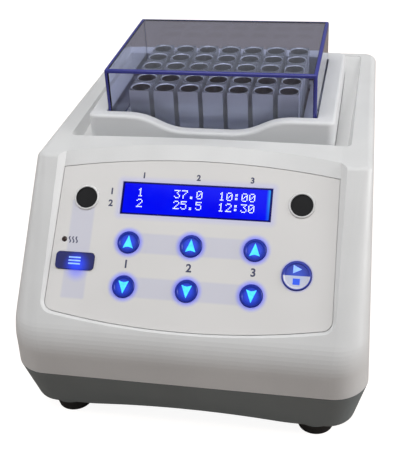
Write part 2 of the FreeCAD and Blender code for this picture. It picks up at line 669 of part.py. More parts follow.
PLATE_UNDERSIDE = "-overlay_thickness - panel_plate"
FLANGE_TOP = PLATE_UNDERSIDE + " - flange_gap"
FLANGE_LOW = FLANGE_TOP + " - flange_height"
SWITCH_TOP = "-board_depth + switch_height"
STEM_LOW = SWITCH_TOP + " - 1.5"


def set_on_panel(body, u, v):
    body.Placement = FreeCAD.Placement(VEC(), FreeCAD.Rotation(ACROSS, 45))
    tie(body, "Placement.Rotation.Angle", "slope_angle")
    tie(body, "Placement.Base.x", u)
    tie(body, "Placement.Base.y", "display_y + (%s) * cos(slope_angle)" % v)
    tie(body, "Placement.Base.z", "%s + (%s) * sin(slope_angle)" % (DISPLAY_Z, v))
    return body


for name, u, v, diameter in ROUND_KEYS:
    body = new_body(name + "_body")
    radius = diameter + " / 2"
    profile = draw_outline(new_sketch(body, name + "_profile", "XZ_Plane"), [
        ("0", STEM_LOW), ("stem_diameter / 2", STEM_LOW), ("stem_diameter / 2", FLANGE_LOW),
        (radius + " + flange_width", FLANGE_LOW), (radius + " + flange_width", FLANGE_TOP),
        (radius, FLANGE_TOP),
        (radius, "key_proud - 0.3"), (radius + " - 0.3", "key_proud"), (radius + " - 1.1", "key_proud"),
        (radius + " - 1.6", "key_proud - key_dish"), ("0", "key_proud - key_dish")])
    revolve(body, name + "_turned", profile)
    keep(name, set_on_panel(body, u, v))


prog_cap = rounded_slab("ProgCap", spread("prog_u", "prog_width"), spread("prog_v", "prog_height"),
                        (FLANGE_LOW, "key_proud"), val("prog_corner"))
prog_flange = slab("ProgFlange", spread("prog_u", "prog_width", "flange_width"),
                   spread("prog_v", "prog_height", "flange_width"), (FLANGE_LOW, FLANGE_TOP))
prog_stem = rod("ProgStem", ("prog_u", "prog_v", STEM_LOW), "stem_diameter / 2",
                "%s - (%s)" % (FLANGE_TOP, STEM_LOW))
keep("program_key", on_panel(join("ProgramKey", prog_cap, prog_flange, prog_stem)))

KEY_SPOTS = [(u, v) for _, u, v, _ in ROUND_KEYS] + [("prog_u", "prog_v")]
switches = []
for i, (u, v) in enumerate(KEY_SPOTS):
    case = slab("SwitchCase%d" % i, spread(u, "switch_side"), spread(v, "switch_side"),
                ("-board_depth", SWITCH_TOP))
    bore = rod("SwitchBore%d" % i, (u, v, STEM_LOW + " - key_travel - 0.4"),
               "stem_diameter / 2 + stem_fit", "6")
    switches.append(cut("Switch%d" % i, case, bore))
keep("key_switches", on_panel(group("KeySwitches", *switches)))

BOARD_LOW = "-board_depth - board_thickness"
BOARD_U = ("prog_u - prog_width / 2 + 1", "start_u + start_diameter / 2 + 4")
BOARD_V = ("key_row_lower - key_diameter / 2 - 3", "-module_length / 2 - 1")
key_board = slab("KeyBoardBlank", BOARD_U, BOARD_V, (BOARD_LOW, "-board_depth"))
BOARD_SPOTS = [("-key_pitch * 1.5", "key_row_lower - 5"), ("key_pitch * 1.5 - 6", "key_row_lower - 5"),
               ("-key_pitch / 2", "key_row_upper - 2"), ("key_pitch / 2", "key_row_upper - 2")]
board_holes = [rod("KeyBoardHole%d" % i, (u, v, BOARD_LOW + " - 1"), "screw_diameter / 2 + 0.2", "5")
               for i, (u, v) in enumerate(BOARD_SPOTS)]
keep("key_board", on_panel(cut("KeyBoard", key_board, *board_holes)))
spacers = []
panel_screws = []
for i, (u, v) in enumerate(MODULE_SPOTS + BOARD_SPOTS):
    low = MODULE_TOP if i < len(MODULE_SPOTS) else "-board_depth"
    board_back = low + " - board_thickness"
    column = rod("SpacerColumn%d" % i, (u, v, low), "spacer_diameter / 2",
                 "%s - (%s)" % (PLATE_UNDERSIDE, low))
    bore = rod("SpacerBore%d" % i, (u, v, low + " - 1"), "screw_diameter / 2 + 0.05", "4.5")
    spacers.append(cut("Spacer%d" % i, column, bore))
    panel_screws.append(screw("PanelScrew%d" % i, (u, v, board_back), "board_thickness + 3"))
keep("board_spacers", on_panel(group("BoardSpacers", *spacers)))
keep("board_screws", on_panel(group("BoardScrews", *panel_screws)))
lamp = rod("LampBody", ("lamp_u", "lamp_v", "-board_depth"), "lamp_diameter / 2",
           "board_depth + lamp_proud - 0.8")
lamp_tip = cone("LampTip", ("lamp_u", "lamp_v", "lamp_proud - 0.8"), "lamp_diameter / 2",
                "lamp_diameter / 2 - 0.7", "0.8")
keep("heating_lamp", on_panel(join("HeatingLamp", lamp, lamp_tip)))


# Deck, lid and tube block

LID_X = "lid_width / 2"
LID_FRONT = "block_y - lid_length / 2"
LID_REAR = "block_y + lid_length / 2"


def deck_blank():
    """The raised deck with the smooth dip in the middle of its front wall."""
    half = val("deck_half_width")
    top = val("deck_top")
    front = val("deck_front")
    blank = Part.Face(deck_plan(val("recess_floor"))).extrude(VEC(0, 0, top - val("recess_floor")))
    reach, flat, floor = val("dip_reach"), val("dip_flat"), top - val("dip_depth")
    ease = (reach - flat) / 2
    edges = []
    for side in (-1, 1):
        curve = Part.BezierCurve()
        curve.setPoles([VEC(side * reach, front - 1, top), VEC(side * (reach - ease), front - 1, top),
                        VEC(side * (flat + ease), front - 1, floor), VEC(side * flat, front - 1, floor)])
        edges.append(curve.toShape())
    edges.append(Part.LineSegment(VEC(-flat, front - 1, floor), VEC(flat, front - 1, floor)).toShape())
    lid_front = val("block_y") - val("lid_length") / 2 - val("lid_fit")
    above = [VEC(reach, front - 1, top), VEC(reach, front - 1, top + 5), VEC(-reach, front - 1, top + 5),
             VEC(-reach, front - 1, top)]
    edges += [Part.LineSegment(a, b).toShape() for a, b in zip(above, above[1:])]
    dip = Part.Face(Part.Wire(Part.__sortEdges__(edges))).extrude(VEC(0, lid_front - front + 5, 0))
    blank = blank.cut(dip)
    rim = pick_edges(blank, lambda edge: min(v.Z for v in edge.Vertexes) > floor - 0.01
                     and (max(v.Y for v in edge.Vertexes) < front + 0.01
                          or min(v.Z for v in edge.Vertexes) > top - 0.01)
                     and not all(abs(v.Y - lid_front - 4) < 0.01 for v in edge.Vertexes)
                     and len(edge.Vertexes) > 1)
    rim = [edge for edge in rim if not (abs(edge.tangentAt(edge.FirstParameter).y) > 0.9
                                        and abs(edge.Vertexes[0].X) < half - 1)]
    return blank.makeFillet(val("deck_round"), rim)


deck = made("DeckBlank", deck_blank())
lid_pocket = slab("LidPocket", spread("0", "lid_width", "lid_fit"),
                  spread("block_y", "lid_length", "lid_fit"), ("ledge_height", "deck_top + 5"))
block_opening = slab("BlockOpening", spread("0", "2 * (%s)" % BLOCK_X, "block_fit"),
                     spread("block_y", "2 * (%s)" % BLOCK_Y, "block_fit"),
                     ("recess_floor - 5", "ledge_height + 5"))
DECK_INSIDE = spread("0", "2 * (deck_half_width - deck_skin)")
under_ledge = slab("UnderLedge", DECK_INSIDE,
                   ("deck_front + deck_skin", "deck_rear - deck_skin"),
                   ("recess_floor - 5", "ledge_height - deck_skin"))
rear_hollow = slab("RearHollow", DECK_INSIDE,
                   (LID_REAR + " + lid_fit + deck_skin", "deck_rear - deck_skin"),
                   ("recess_floor - 5", "deck_top - deck_skin"))
WELL_SCREWS = [("%s * (%s - lid_wall - 4.1)" % (side, LID_X),
                "block_y + %s * (lid_length / 2 - lid_wall - 3.3)" % end)
               for side in (-1, 1) for end in (-1, 1)]
well_bores = [rod("DeckScrewBore%d" % i, (x, y, "ledge_height - 6"), "screw_diameter / 2 + 0.1", "10")
              for i, (x, y) in enumerate(WELL_SCREWS)]
keep("well_deck", cut("WellDeck", deck, lid_pocket, block_opening, under_ledge, rear_hollow, *well_bores))
keep("deck_screws", group("DeckScrews", *[
    screw_down("DeckScrew%d" % i, (x, y, "ledge_height"), "deck_skin + 4")
    for i, (x, y) in enumerate(WELL_SCREWS)]))

lid_body = new_body("LidBody")
lid_outline = draw_rectangle(new_sketch(lid_body, "LidOutline", "XY_Plane", "ledge_height + lid_rest"),
                             ("-" + LID_X, LID_X), (LID_FRONT, LID_REAR))
feature(lid_body, "Pad", "LidPad", lid_outline, "lid_top - ledge_height - lid_rest")
lid_inside = draw_rectangle(new_sketch(lid_body, "LidInside", "XY_Plane", "lid_top - lid_wall"),
                            ("-%s + lid_wall" % LID_X, LID_X + " - lid_wall"),
                            (LID_FRONT + " + lid_wall", LID_REAR + " - lid_wall"))
lid_hollow = feature(lid_body, "Pocket", "LidHollow", lid_inside, "lid_top - ledge_height")
doc.recompute()
outer_edges = ["Edge%d" % i for i, edge in enumerate(lid_hollow.Shape.Edges, start=1)
               if all(abs(abs(v.X) - val("lid_width") / 2) < 0.01 or v.Z > val("lid_top") - 0.01
                      for v in edge.Vertexes) and max(v.Z for v in edge.Vertexes) > val("lid_top") - 0.01]
lid_fillet = lid_body.newObject("PartDesign::Fillet", "LidRounding")
lid_fillet.Base = (lid_hollow, outer_edges)
tie(lid_fillet, "Radius", "lid_round")
keep("clear_lid", lid_body)


def well_tool():
    """The form of one tube well with its chamfered rim and conical floor, its mouth at the origin."""
    radius, depth, rim = val("well_diameter") / 2, val("well_depth"), val("well_rim")
    points = [VEC(0, 0, 2), VEC(radius + rim + 2, 0, 2), VEC(radius, 0, -rim), VEC(radius, 0, -depth),
              VEC(1.5, 0, -depth - val("well_cone")), VEC(0, 0, -depth - val("well_cone"))]
    return Part.Face(Part.makePolygon(points + [points[0]])).revolve(VEC(), UP, 360)


COLUMNS, ROWS = int(val("columns")), int(val("rows"))
wells = []
for column in range(COLUMNS):
    for row in range(ROWS):
        tool = well_tool()
        tool.translate(VEC((column - (COLUMNS - 1) / 2) * val("well_pitch"),
                           val("block_y") + (row - (ROWS - 1) / 2) * val("well_pitch"), val("block_top")))
        wells.append(tool)
slots = []
SLOT_Z = ("block_top - slot_depth", "block_top + 1")
for i in range(COLUMNS - 1):
    middle = "(%d + 1 - columns / 2) * well_pitch" % i
    slots.append(slab("ColumnSlot%d" % i, spread(middle, "well_pitch - post_side"),
                      spread("block_y", "well_pitch * (rows + 1)"), SLOT_Z))
for i in range(ROWS - 1):
    middle = "block_y + (%d + 1 - rows / 2) * well_pitch" % i
    slots.append(slab("RowSlot%d" % i, spread("0", "well_pitch * (columns + 1)"),
                      spread(middle, "well_pitch - post_side"), SLOT_Z))
block_body = new_body("BlockBody")
block_outline = draw_rectangle(new_sketch(block_body, "BlockOutline", "XY_Plane", "block_bottom"),
                               spread("0", "2 * (%s)" % BLOCK_X), spread("block_y", "2 * (%s)" % BLOCK_Y))
feature(block_body, "Pad", "BlockPad", block_outline, "block_top - block_bottom")
keep("tube_block", cut("TubeBlock", block_body, made("Wells", Part.makeCompound(wells)), *slots))


# Insulation, cooling stack and fan under the tube block

def about_block(name, half_x, half_y, z):
    return slab(name, spread("0", "2 * (%s)" % half_x), spread("block_y", "2 * (%s)" % half_y), z)


JACKET_Z = ("block_bottom + stack_gap", "ledge_height - deck_skin - stack_gap")
jacket = about_block("JacketBlank", BLOCK_X + " + block_fit + jacket_wall",
                     BLOCK_Y + " + block_fit + jacket_wall", JACKET_Z)
jacket_hole = about_block("JacketHole", BLOCK_X + " + block_fit", BLOCK_Y + " + block_fit",
                          ("block_bottom - 5", "ledge_height + 5"))
jacket_bores = [rod("JacketScrewBore%d" % i, (x, y, "ledge_height - 12"), "screw_diameter / 2 + 0.1", "20")
                for i, (x, y) in enumerate(WELL_SCREWS)]
keep("insulation_jacket", cut("InsulationJacket", jacket, jacket_hole, *jacket_bores))

HEAD_RADIUS = "screw_diameter * 0.95"
HEAD_SEAT = "block_bottom - 2.2"
SENSOR_Y = "block_y - sink_length / 4"
SENSOR_Z = "block_bottom - spreader_height / 2"
SENSOR_START = "-sink_width / 2 - 1"
spreader = about_block("SpreaderBlank", "sink_width / 2", "sink_length / 2", (SPREADER_LOW, "block_bottom"))
spreader_tools = [rod("SensorBore", ("-sink_width / 2 - 1", SENSOR_Y, SENSOR_Z), "1.6", "20", "x")]
sink_tools = []
stack_screws = []
for i, (x, y) in enumerate(POSTS):
    clear_radius = "screw_diameter / 2 + 0.2"
    spreader_tools.append(rod("SpreaderBore%d" % i, (x, y, SPREADER_LOW + " - 1"), clear_radius, "20"))
    spreader_tools.append(rod("SpreaderSeat%d" % i, (x, y, HEAD_SEAT), HEAD_RADIUS + " + 0.2", "5"))
    sink_tools.append(rod("SinkBore%d" % i, (x, y, SINK_LOW + " - 1"), clear_radius, "20"))
    stack_screws.append(screw_down("StackScrew%d" % i, (x, y, HEAD_SEAT),
                                   "spreader_height + module_height + sink_base + 10"))
keep("heat_spreader", cut("HeatSpreader", spreader, *spreader_tools))
keep("stack_screws", group("StackScrews", *stack_screws))
keep("temperature_sensor", rod("TemperatureSensor", (SENSOR_START + " - 1", SENSOR_Y, SENSOR_Z), "1.5",
                               "20", "x"))
keep("cooling_modules", group("CoolingModules", *[
    slab("CoolingModule%d" % i, spread("%s * module_pitch / 2" % side, "module_side"),
         spread("block_y", "module_side"), (SINK_TOP, SPREADER_LOW)) for i, side in enumerate(("-1", "1"))]))

FIN_HALF = "sink_width / 2 - 9"
FIN_LOW = SINK_LOW + " - fin_height"
sink_base = about_block("SinkBase", "sink_width / 2", "sink_length / 2", (SINK_LOW, SINK_TOP))
fins = []
FIN_COUNT = int(val("fin_count"))
for i in range(FIN_COUNT):
    start = "-(%s) + %d * (2 * (%s) - fin_thickness) / (fin_count - 1)" % (FIN_HALF, i, FIN_HALF)
    fins.append(slab("Fin%d" % i, (start, start + " + fin_thickness"), spread("block_y", "sink_length"),
                     (FIN_LOW, SINK_LOW + " + 0.5")))
keep("heat_sink", cut("HeatSink", join("SinkWithFins", sink_base, *fins), *sink_tools))

FAN_HOLE = "fan_side / 2 - 4.25"
FAN_SPOTS = [(x, y) for x in ("-(%s)" % FAN_HOLE, FAN_HOLE)
             for y in ("block_y - (%s)" % FAN_HOLE, "block_y + (%s)" % FAN_HOLE)]
BEARING_RADIUS = "shaft_diameter / 2 + 2"
frame_block = about_block("FanBlock", "fan_side / 2", "fan_side / 2", (FAN_LOW, FAN_TOP))
fan_duct = rod("FanDuct", ("0", "block_y", FAN_LOW + " - 1"), "fan_bore / 2", "fan_depth + 2")
fan_holes = [rod("FanHole%d" % i, (x, y, FAN_LOW + " - 1"), "screw_diameter / 2 + 0.5", "fan_depth + 2")
             for i, (x, y) in enumerate(FAN_SPOTS)]
strut_along = slab("FanStrutX", ("-fan_bore / 2 - 1", "fan_bore / 2 + 1"), spread("block_y", "5"),
                   (FAN_LOW, FAN_LOW + " + 3"))
strut_across = slab("FanStrutY", spread("0", "5"), spread("block_y", "fan_bore + 2"),
                    (FAN_LOW, FAN_LOW + " + 3"))
fan_seat = rod("FanSeat", ("0", "block_y", FAN_LOW), "fan_hub / 2", "3")
bearing_hole = rod("BearingHole", ("0", "block_y", FAN_LOW + " - 1"), BEARING_RADIUS, "20")
fan_frame = join("FanFrameWhole", cut("FanShroud", frame_block, fan_duct, *fan_holes),
                 strut_along, strut_across, fan_seat)
keep("fan_frame", cut("FanFrame", fan_frame, bearing_hole))
bearing = rod("BearingBlank", ("0", "block_y", FAN_LOW), BEARING_RADIUS, "9")
shaft_hole = rod("ShaftHole", ("0", "block_y", FAN_LOW + " - 1"), "shaft_diameter / 2 + shaft_fit", "20")
keep("fan_bearing", cut("FanBearing", bearing, shaft_hole))
keep("fan_screws", group("FanScrews", *[
    screw("FanScrew%d" % i, (x, y, FAN_LOW), "fan_depth + stack_gap - 0.05")
    for i, (x, y) in enumerate(FAN_SPOTS)]))
ROTOR_LOW = FAN_LOW + " + 3.5"
hub = rod("FanHub", ("0", "block_y", ROTOR_LOW), "fan_hub / 2", "fan_depth - 4.5")
hub_hollow = rod("FanHubHollow", ("0", "block_y", ROTOR_LOW + " - 1"), "fan_hub / 2 - 2", "fan_depth - 7")
rotor_shaft = rod("FanShaft", ("0", "block_y", FAN_LOW + " + 0.5"), "shaft_diameter / 2", "fan_depth - 2")


def fan_blades():
    """Raked blades from the hub to just inside the duct."""
    inner_radius = val("fan_hub") / 2 - 0.6
    tip = val("fan_bore") / 2 - val("blade_gap")
    low = hub.Placement.Base.z
    height = val("fan_depth") - 6.5
    centre = VEC(0, val("block_y"), 0)
    rake = height * 0.75
    blades = []
    for i in range(int(val("blade_count"))):
        outline = [VEC(inner_radius, -rake, low + 1), VEC(inner_radius, -rake + 1.4, low + 1),
                   VEC(inner_radius, rake + 1.4, low + 1 + height), VEC(inner_radius, rake, low + 1 + height)]
        blade = Part.Face(Part.makePolygon(outline + [outline[0]])).extrude(VEC(tip * 1.2, 0, 0))
        blade = blade.common(Part.makeCylinder(tip, 3 * height, VEC(0, 0, low)))
        blade.translate(centre)
        blade.rotate(centre, UP, 360.0 * i / val("blade_count"))
        blades.append(blade)
    return Part.makeCompound(blades)


doc.recompute()
blades = made("FanBlades", fan_blades())
keep("fan_rotor", join("FanRotor", cut("FanHubShell", hub, hub_hollow), rotor_shaft, blades))


# Mains inlet with its fuse drawer, and the rocker switch

SOCKET_LOW = "inlet_z - inlet_height / 2"
inlet_body = slab("InletBody", spread("inlet_x", "inlet_width"), (REAR + " - inlet_depth", REAR),
                  (INLET_LOW, INLET_HIGH))
socket_cavity = slab("SocketCavity", spread("inlet_x", "inlet_width - 4"), (REAR + " - 17", REAR + " + 1"),
                     spread("inlet_z", "inlet_height - 4"))
drawer_cavity = slab("DrawerCavity", spread("inlet_x", "inlet_width - 4"),
                     (REAR + " - drawer_depth - drawer_fit", REAR + " + 1"),
                     ("%s + 1.5" % INLET_LOW, SOCKET_LOW))
pin_bores = []
pins = []
PIN_SPOTS = [("-7", "-2"), ("7", "-2"), ("0", "3")]
for i, (dx, dz) in enumerate(PIN_SPOTS):
    x, z = "inlet_x + (%s)" % dx, "inlet_z + (%s)" % dz
    pins.append(slab("InletPin%d" % i, spread(x, "pin_thickness"),
                     (REAR + " - inlet_depth - 6", REAR + " - 3"), spread(z, "pin_width")))
    pin_bores.append(slab("InletPinBore%d" % i, spread(x, "pin_thickness"),
                          (REAR + " - inlet_depth - 1", REAR), spread(z, "pin_width")))
keep("mains_inlet", cut("MainsInlet", inlet_body, socket_cavity, drawer_cavity, *pin_bores))
keep("inlet_pins", group("InletPins", *pins))

DRAWER_Z = ("%s + 1.5 + drawer_fit" % INLET_LOW, "%s - 1.5" % SOCKET_LOW)
drawer_block = slab("DrawerBlock", spread("inlet_x", "inlet_width - 4 - 2 * drawer_fit"),
                    (REAR + " - drawer_depth", REAR + " - 0.2"), DRAWER_Z)
fuse_troughs = [slab("FuseTrough%d" % i, spread("inlet_x + %s * 5" % side, "6"),
                     (REAR + " - drawer_depth + 1", REAR + " - 3"), ("%s + 2.8" % INLET_LOW, SOCKET_LOW))
                for i, side in enumerate(("-1", "1"))]
finger_notch = slab("FingerNotch", spread("inlet_x", "8"), (REAR + " - 1.4", REAR + " + 1"),
                    ("%s + 1.5 + drawer_fit + 1.5" % INLET_LOW, "%s - 3" % SOCKET_LOW))
keep("fuse_drawer", cut("FuseDrawer", drawer_block, finger_notch, *fuse_troughs))
keep("fuses", group("Fuses", *[
    rod("Fuse%d" % i, ("inlet_x + %s * 5" % side, REAR + " - drawer_depth + 1.2", "%s + 5.4" % INLET_LOW),
        "2.5", "drawer_depth - 4.5", "y") for i, side in enumerate(("-1", "1"))]))

PIVOT_Y = REAR + " - 7"
frame_box = slab("SwitchFrameBox", ("rocker_x - (%s)" % ROCKER_SIDE, "rocker_x + " + ROCKER_SIDE),
                 (REAR + " - 20", REAR), ("inlet_z - (%s)" % ROCKER_REACH, "inlet_z + " + ROCKER_REACH))
frame_room = slab("SwitchFrameRoom", spread("rocker_x", "rocker_width", "rocker_fit"),
                  (REAR + " - 17", REAR + " + 1"), spread("inlet_z", "2 * rocker_radius", "rocker_fit"))
frame_pivot = rod("SwitchFramePivot", ("rocker_x - rocker_width", PIVOT_Y, "inlet_z"), "1.25",
                  "2 * rocker_width", "x")
keep("switch_frame", cut("SwitchFrame", frame_box, frame_room, frame_pivot))


def rocker_shape():
    """The rocker in its rest position, one half pressed in, with pivot pins at its ends."""
    width, radius = val("rocker_width"), val("rocker_radius")
    pivot = VEC(val("rocker_x"), val("case_length") / 2 - 7, val("inlet_z"))
    reach = math.sqrt(radius ** 2 - 5.0 ** 2)
    points = [VEC(-width / 2, 5, -reach), VEC(-width / 2, 4, 0), VEC(-width / 2, 5, reach),
              VEC(-width / 2, 1, reach * 0.9), VEC(-width / 2, -5, 3), VEC(-width / 2, -5, -3),
              VEC(-width / 2, 1, -reach * 0.9)]
    body = Part.Face(Part.makePolygon(points + [points[0]])).extrude(VEC(width, 0, 0))
    pin = Part.makeCylinder(1.2, width + 3, VEC(-width / 2 - 1.5, 0, 0), ACROSS)
    rocker = body.fuse(pin)
    rocker.rotate(VEC(), ACROSS, val("rocker_tilt"))
    rocker.translate(pivot)
    return rocker


keep("power_rocker", made("PowerRocker", rocker_shape()))


# Circuit boards on the floor of the base

BOARD_Z = ("base_floor + wall + standoff_height", "base_floor + wall + standoff_height + board_thickness")
BOARD_TOP = BOARD_Z[1]


def floor_board(prefix, x, y):
    """A board with a bore at each corner, its standoffs and its screws."""
    spots = [(a, b) for a in ("%s + 4" % x[0], "%s - 4" % x[1]) for b in ("%s + 4" % y[0], "%s - 4" % y[1])]
    holes = [rod("%sHole%d" % (prefix, i), (a, b, BOARD_Z[0] + " - 1"), "screw_diameter / 2 + 0.2", "5")
             for i, (a, b) in enumerate(spots)]
    return cut(prefix, slab(prefix + "Blank", x, y, BOARD_Z), *holes), spots


def from_front(*distances):
    """Formulas of places at the given distances behind the front edge of the floor boards."""
    return tuple("board_front_inset - case_length / 2 + %s" % distance for distance in distances)


power_board, power_spots = floor_board("PowerBoard", ("12", "74"), from_front(0, "board_length"))
control_board, control_spots = floor_board("ControlBoard", ("-74", "-12"), from_front(0, "board_length"))
keep("power_board", power_board)
keep("control_board", control_board)
standoffs = []
floor_screws = []
for i, (x, y) in enumerate(power_spots + control_spots):
    column = rod("FloorColumn%d" % i, (x, y, "base_floor + wall"), "screw_diameter / 2 + 1.8",
                 "standoff_height")
    bore = rod("FloorColumnBore%d" % i, (x, y, "base_floor + wall + 0.5"), "screw_diameter / 2 + 0.05", "10")
    standoffs.append(cut("FloorStandoff%d" % i, column, bore))
    floor_screws.append(screw_down("FloorScrew%d" % i, (x, y, BOARD_TOP),
                                   "standoff_height + board_thickness - 1.5"))
keep("board_standoffs", group("FloorStandoffs", *standoffs))
keep("floor_screws", group("FloorScrews", *floor_screws))


def on_board(name, x, y, height):
    return slab(name, x, y, (BOARD_TOP, "%s + %s" % (BOARD_TOP, height)))


keep("power_transformer", join("PowerTransformer",
                               on_board("TransformerCore", ("24", "50"), from_front(28, 50), "24"),
                               on_board("TransformerCoil", ("27", "47"), from_front(22, 56), "20")))
CAPACITORS = [("63", 46, "6", "22"), ("63", 30, "6", "22"), ("30", 12, "5", "18"), ("44", 12, "5", "18")]
keep("capacitors", group("Capacitors", *[
    rod("Capacitor%d" % i, (x, from_front(distance)[0], BOARD_TOP), radius, height)
    for i, (x, distance, radius, height) in enumerate(CAPACITORS)]))
keep("mains_terminals", on_board("MainsTerminals", ("56", "72"), from_front(53, 63), "10"))
keep("control_chips", group("ControlChips", on_board("Processor", ("-52", "-38"), from_front(24, 38), "2.2"),
                            on_board("Driver", ("-32", "-20"), from_front(28, 36), "2.2"),
                            on_board("Relay", ("-34", "-18"), from_front(46, 62), "12")))
keep("board_sockets", group("BoardSockets", on_board("LeadSocket", ("-72", "-58"), from_front(56, 64), "8"),
                            on_board("RibbonSocket", ("-56", "-34"), from_front(10, 16), "8")))
CUTOUT_Y = "block_y - sink_length / 2"
keep("thermal_cutout", slab("ThermalCutout", ("20", "32"), (CUTOUT_Y + " - 5", CUTOUT_Y),
                            (SPREADER_LOW, "block_bottom")))


# Leads inside the casing, along their real routes

def lead_group(name, routes, bend):
    """Round leads; each route ends square on the faces that it joins."""
    radius = val("wire_diameter") / 2
    return made(name, Part.makeCompound([tube(points, radius, bend) for points in routes]))


board_top = val("base_floor") + val("wall") + val("standoff_height") + val("board_thickness")
inlet_back = val("case_length") / 2 - val("inlet_depth") - 6
lane_x = val("case_width") / 2 - 6
terminal_top = board_top + 10
board_front = val("board_front_inset") - val("case_length") / 2
terminal_y = board_front + 58
mains_routes = []
for i, (dx, dz) in enumerate(((-7, -2), (7, -2), (0, 3))):
    start = VEC(val("inlet_x") + dx, inlet_back, val("inlet_z") + dz)
    level = terminal_top + 12 + 3 * i
    turn_y = inlet_back - (13 if i == 2 else 9)
    end_x = 68 - 4 * i
    mains_routes.append([start, VEC(start.x, turn_y, start.z), VEC(start.x, turn_y, level),
                         VEC(lane_x, turn_y, level), VEC(lane_x, terminal_y, level),
                         VEC(end_x, terminal_y, level), VEC(end_x, terminal_y, terminal_top)])
keep("mains_leads", lead_group("MainsLeads", mains_routes, val("wire_bend")))
socket_y = board_front + 64
left_x = -(val("sink_width") / 2 + 13)
stack_top = val("block_bottom") - val("spreader_height")
module_z = stack_top - val("module_height") / 2
module_x = -(val("module_pitch") + val("module_side")) / 2
module_routes = []
for i in range(2):
    y = val("block_y") + 8 * i
    lane = left_x - 3.5 * i
    module_routes.append([VEC(module_x, y, module_z), VEC(lane, y, module_z), VEC(lane, y, board_top + 3),
                          VEC(lane, socket_y, board_top + 3)])
keep("module_leads", lead_group("ModuleLeads", module_routes, val("wire_bend")))
sensor_start = VEC(-val("sink_width") / 2 - 2, val("block_y") - val("sink_length") / 4,
                   val("block_bottom") - val("spreader_height") / 2)
sensor_lane = left_x + 5
keep("sensor_lead", lead_group("SensorLead", [[
    sensor_start, VEC(sensor_lane, sensor_start.y, sensor_start.z),
    VEC(sensor_lane, sensor_start.y, board_top + 6.4),
    VEC(sensor_lane, socket_y, board_top + 6.4)]], val("sensor_bend")))


def ribbon(points, width, thickness, bend):
    """A flat cable: its section is wide along X and its route lies in a YZ plane."""
    route = rounded_wire(points, [bend] * len(points), closed=False)
    heading = (points[1] - points[0]).normalize()
    side = ACROSS * (width / 2)
    out = heading.cross(ACROSS) * (thickness / 2)
    start = points[0]
    corners = [start + side + out, start - side + out, start - side - out, start + side - out]
    return route.makePipeShell([Part.makePolygon(corners + [corners[0]])], True, True)


ribbon_x = -45.0
ribbon_start = panel_point(ribbon_x, val("key_row_lower") + 10, -val("board_depth") - val("board_thickness"))
away = panel_point(ribbon_x, val("key_row_lower") + 10, -val("board_depth") - val("board_thickness") - 18)
keep("panel_ribbon", made("PanelRibbon", ribbon(
    [ribbon_start, away, VEC(ribbon_x, board_front + 13, away.z - 14),
     VEC(ribbon_x, board_front + 13, board_top + 8)],
    20.0, 0.9, 7.0)))


# Check every object, then write one file for each piece

doc.recompute()
for item in doc.Objects:
    if "Invalid" in item.State or "Error" in item.State:
        raise RuntimeError("failed: %s %s" % (item.Label, item.State))
os.makedirs("parts", exist_ok=True)
for node, piece in NODES.items():
    if piece.Shape.isNull() or not piece.Shape.isValid():
        raise RuntimeError("no valid shape: " + node)
    piece.Shape.exportStep("parts/%s.step" % node)
    box = piece.Shape.BoundBox
    print("%-22s %2d solids %10.1f mm3  x %.1f..%.1f  y %.1f..%.1f  z %.1f..%.1f" % (
        node, len(piece.Shape.Solids), piece.Shape.Volume, box.XMin, box.XMax, box.YMin, box.YMax,
        box.ZMin, box.ZMax))
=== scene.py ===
import bmesh
import bpy
import json
import math
from mathutils import Matrix, Vector


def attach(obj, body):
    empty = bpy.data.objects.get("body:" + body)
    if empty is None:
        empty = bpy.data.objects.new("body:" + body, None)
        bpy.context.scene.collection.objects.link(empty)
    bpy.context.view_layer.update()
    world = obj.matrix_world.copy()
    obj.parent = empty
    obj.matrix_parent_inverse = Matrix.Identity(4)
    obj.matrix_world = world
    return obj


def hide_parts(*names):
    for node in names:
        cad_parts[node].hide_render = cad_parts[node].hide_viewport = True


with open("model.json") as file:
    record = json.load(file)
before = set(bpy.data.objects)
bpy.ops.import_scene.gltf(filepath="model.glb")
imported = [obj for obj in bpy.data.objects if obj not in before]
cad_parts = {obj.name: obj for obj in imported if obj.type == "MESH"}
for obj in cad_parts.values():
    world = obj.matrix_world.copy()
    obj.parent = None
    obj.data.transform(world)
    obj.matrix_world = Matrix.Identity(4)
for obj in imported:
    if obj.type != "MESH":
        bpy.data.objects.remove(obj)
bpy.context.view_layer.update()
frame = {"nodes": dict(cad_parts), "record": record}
scene = bpy.context.scene

# Places and sizes on the object are in millimetres, and MM turns them into metres.
# The sizes of grains, stains and bumps are in metres.
MM = 0.001

# The control panel's own plane, as in the part: u to the right, v up the slope, n out of it
PANEL_U = Vector((1, 0, 0))
PANEL_V = Vector((0, math.sqrt(0.5), math.sqrt(0.5)))
PANEL_N = PANEL_U.cross(PANEL_V)
PANEL_ORIGIN = Vector((0, -63.5, 118.55)) * MM

# What stands on the panel: centres (u, v), sizes, and heights of the faces along n
KEY_COLUMNS = {"first": -35.7, "second": 0.0, "third": 35.7}
KEY_ROWS = {"up": -25.8, "down": -50.9}
ROUND_KEYS = {"%s_%s_key" % (column, row): (u, v)
              for row, v in KEY_ROWS.items() for column, u in KEY_COLUMNS.items()}
KEY_RADIUS = 6.15
KEY_FACE = 0.3
START = (59.3, -38.3)
START_RADIUS = 8.0
PROG = (-65.4, -38.2)
PROG_FACE = 0.8
DISPLAY_SIZE = (85.5, 18.8)
DISPLAY_FACE = -0.2
BADGES = {"left": (-63.2, -1.2), "right": (59.3, 0.8)}
BADGE_RADIUS = 6.1

# The tube block and the lid round it
BLOCK_Y, BLOCK_TOP = 34.5, 157.7
WELL_PITCH, WELL_RADIUS = 15.0, 5.5
LID_X, LID_Y, LID_LOW, LID_TOP, LID_WALL, LID_BEVEL = 62.6, 46.0, 134.2, 174.0, 2.4, 1.1

# The corners of a rectangle, in turn
CORNERS = ((-1, -1), (1, -1), (1, 1), (-1, 1))


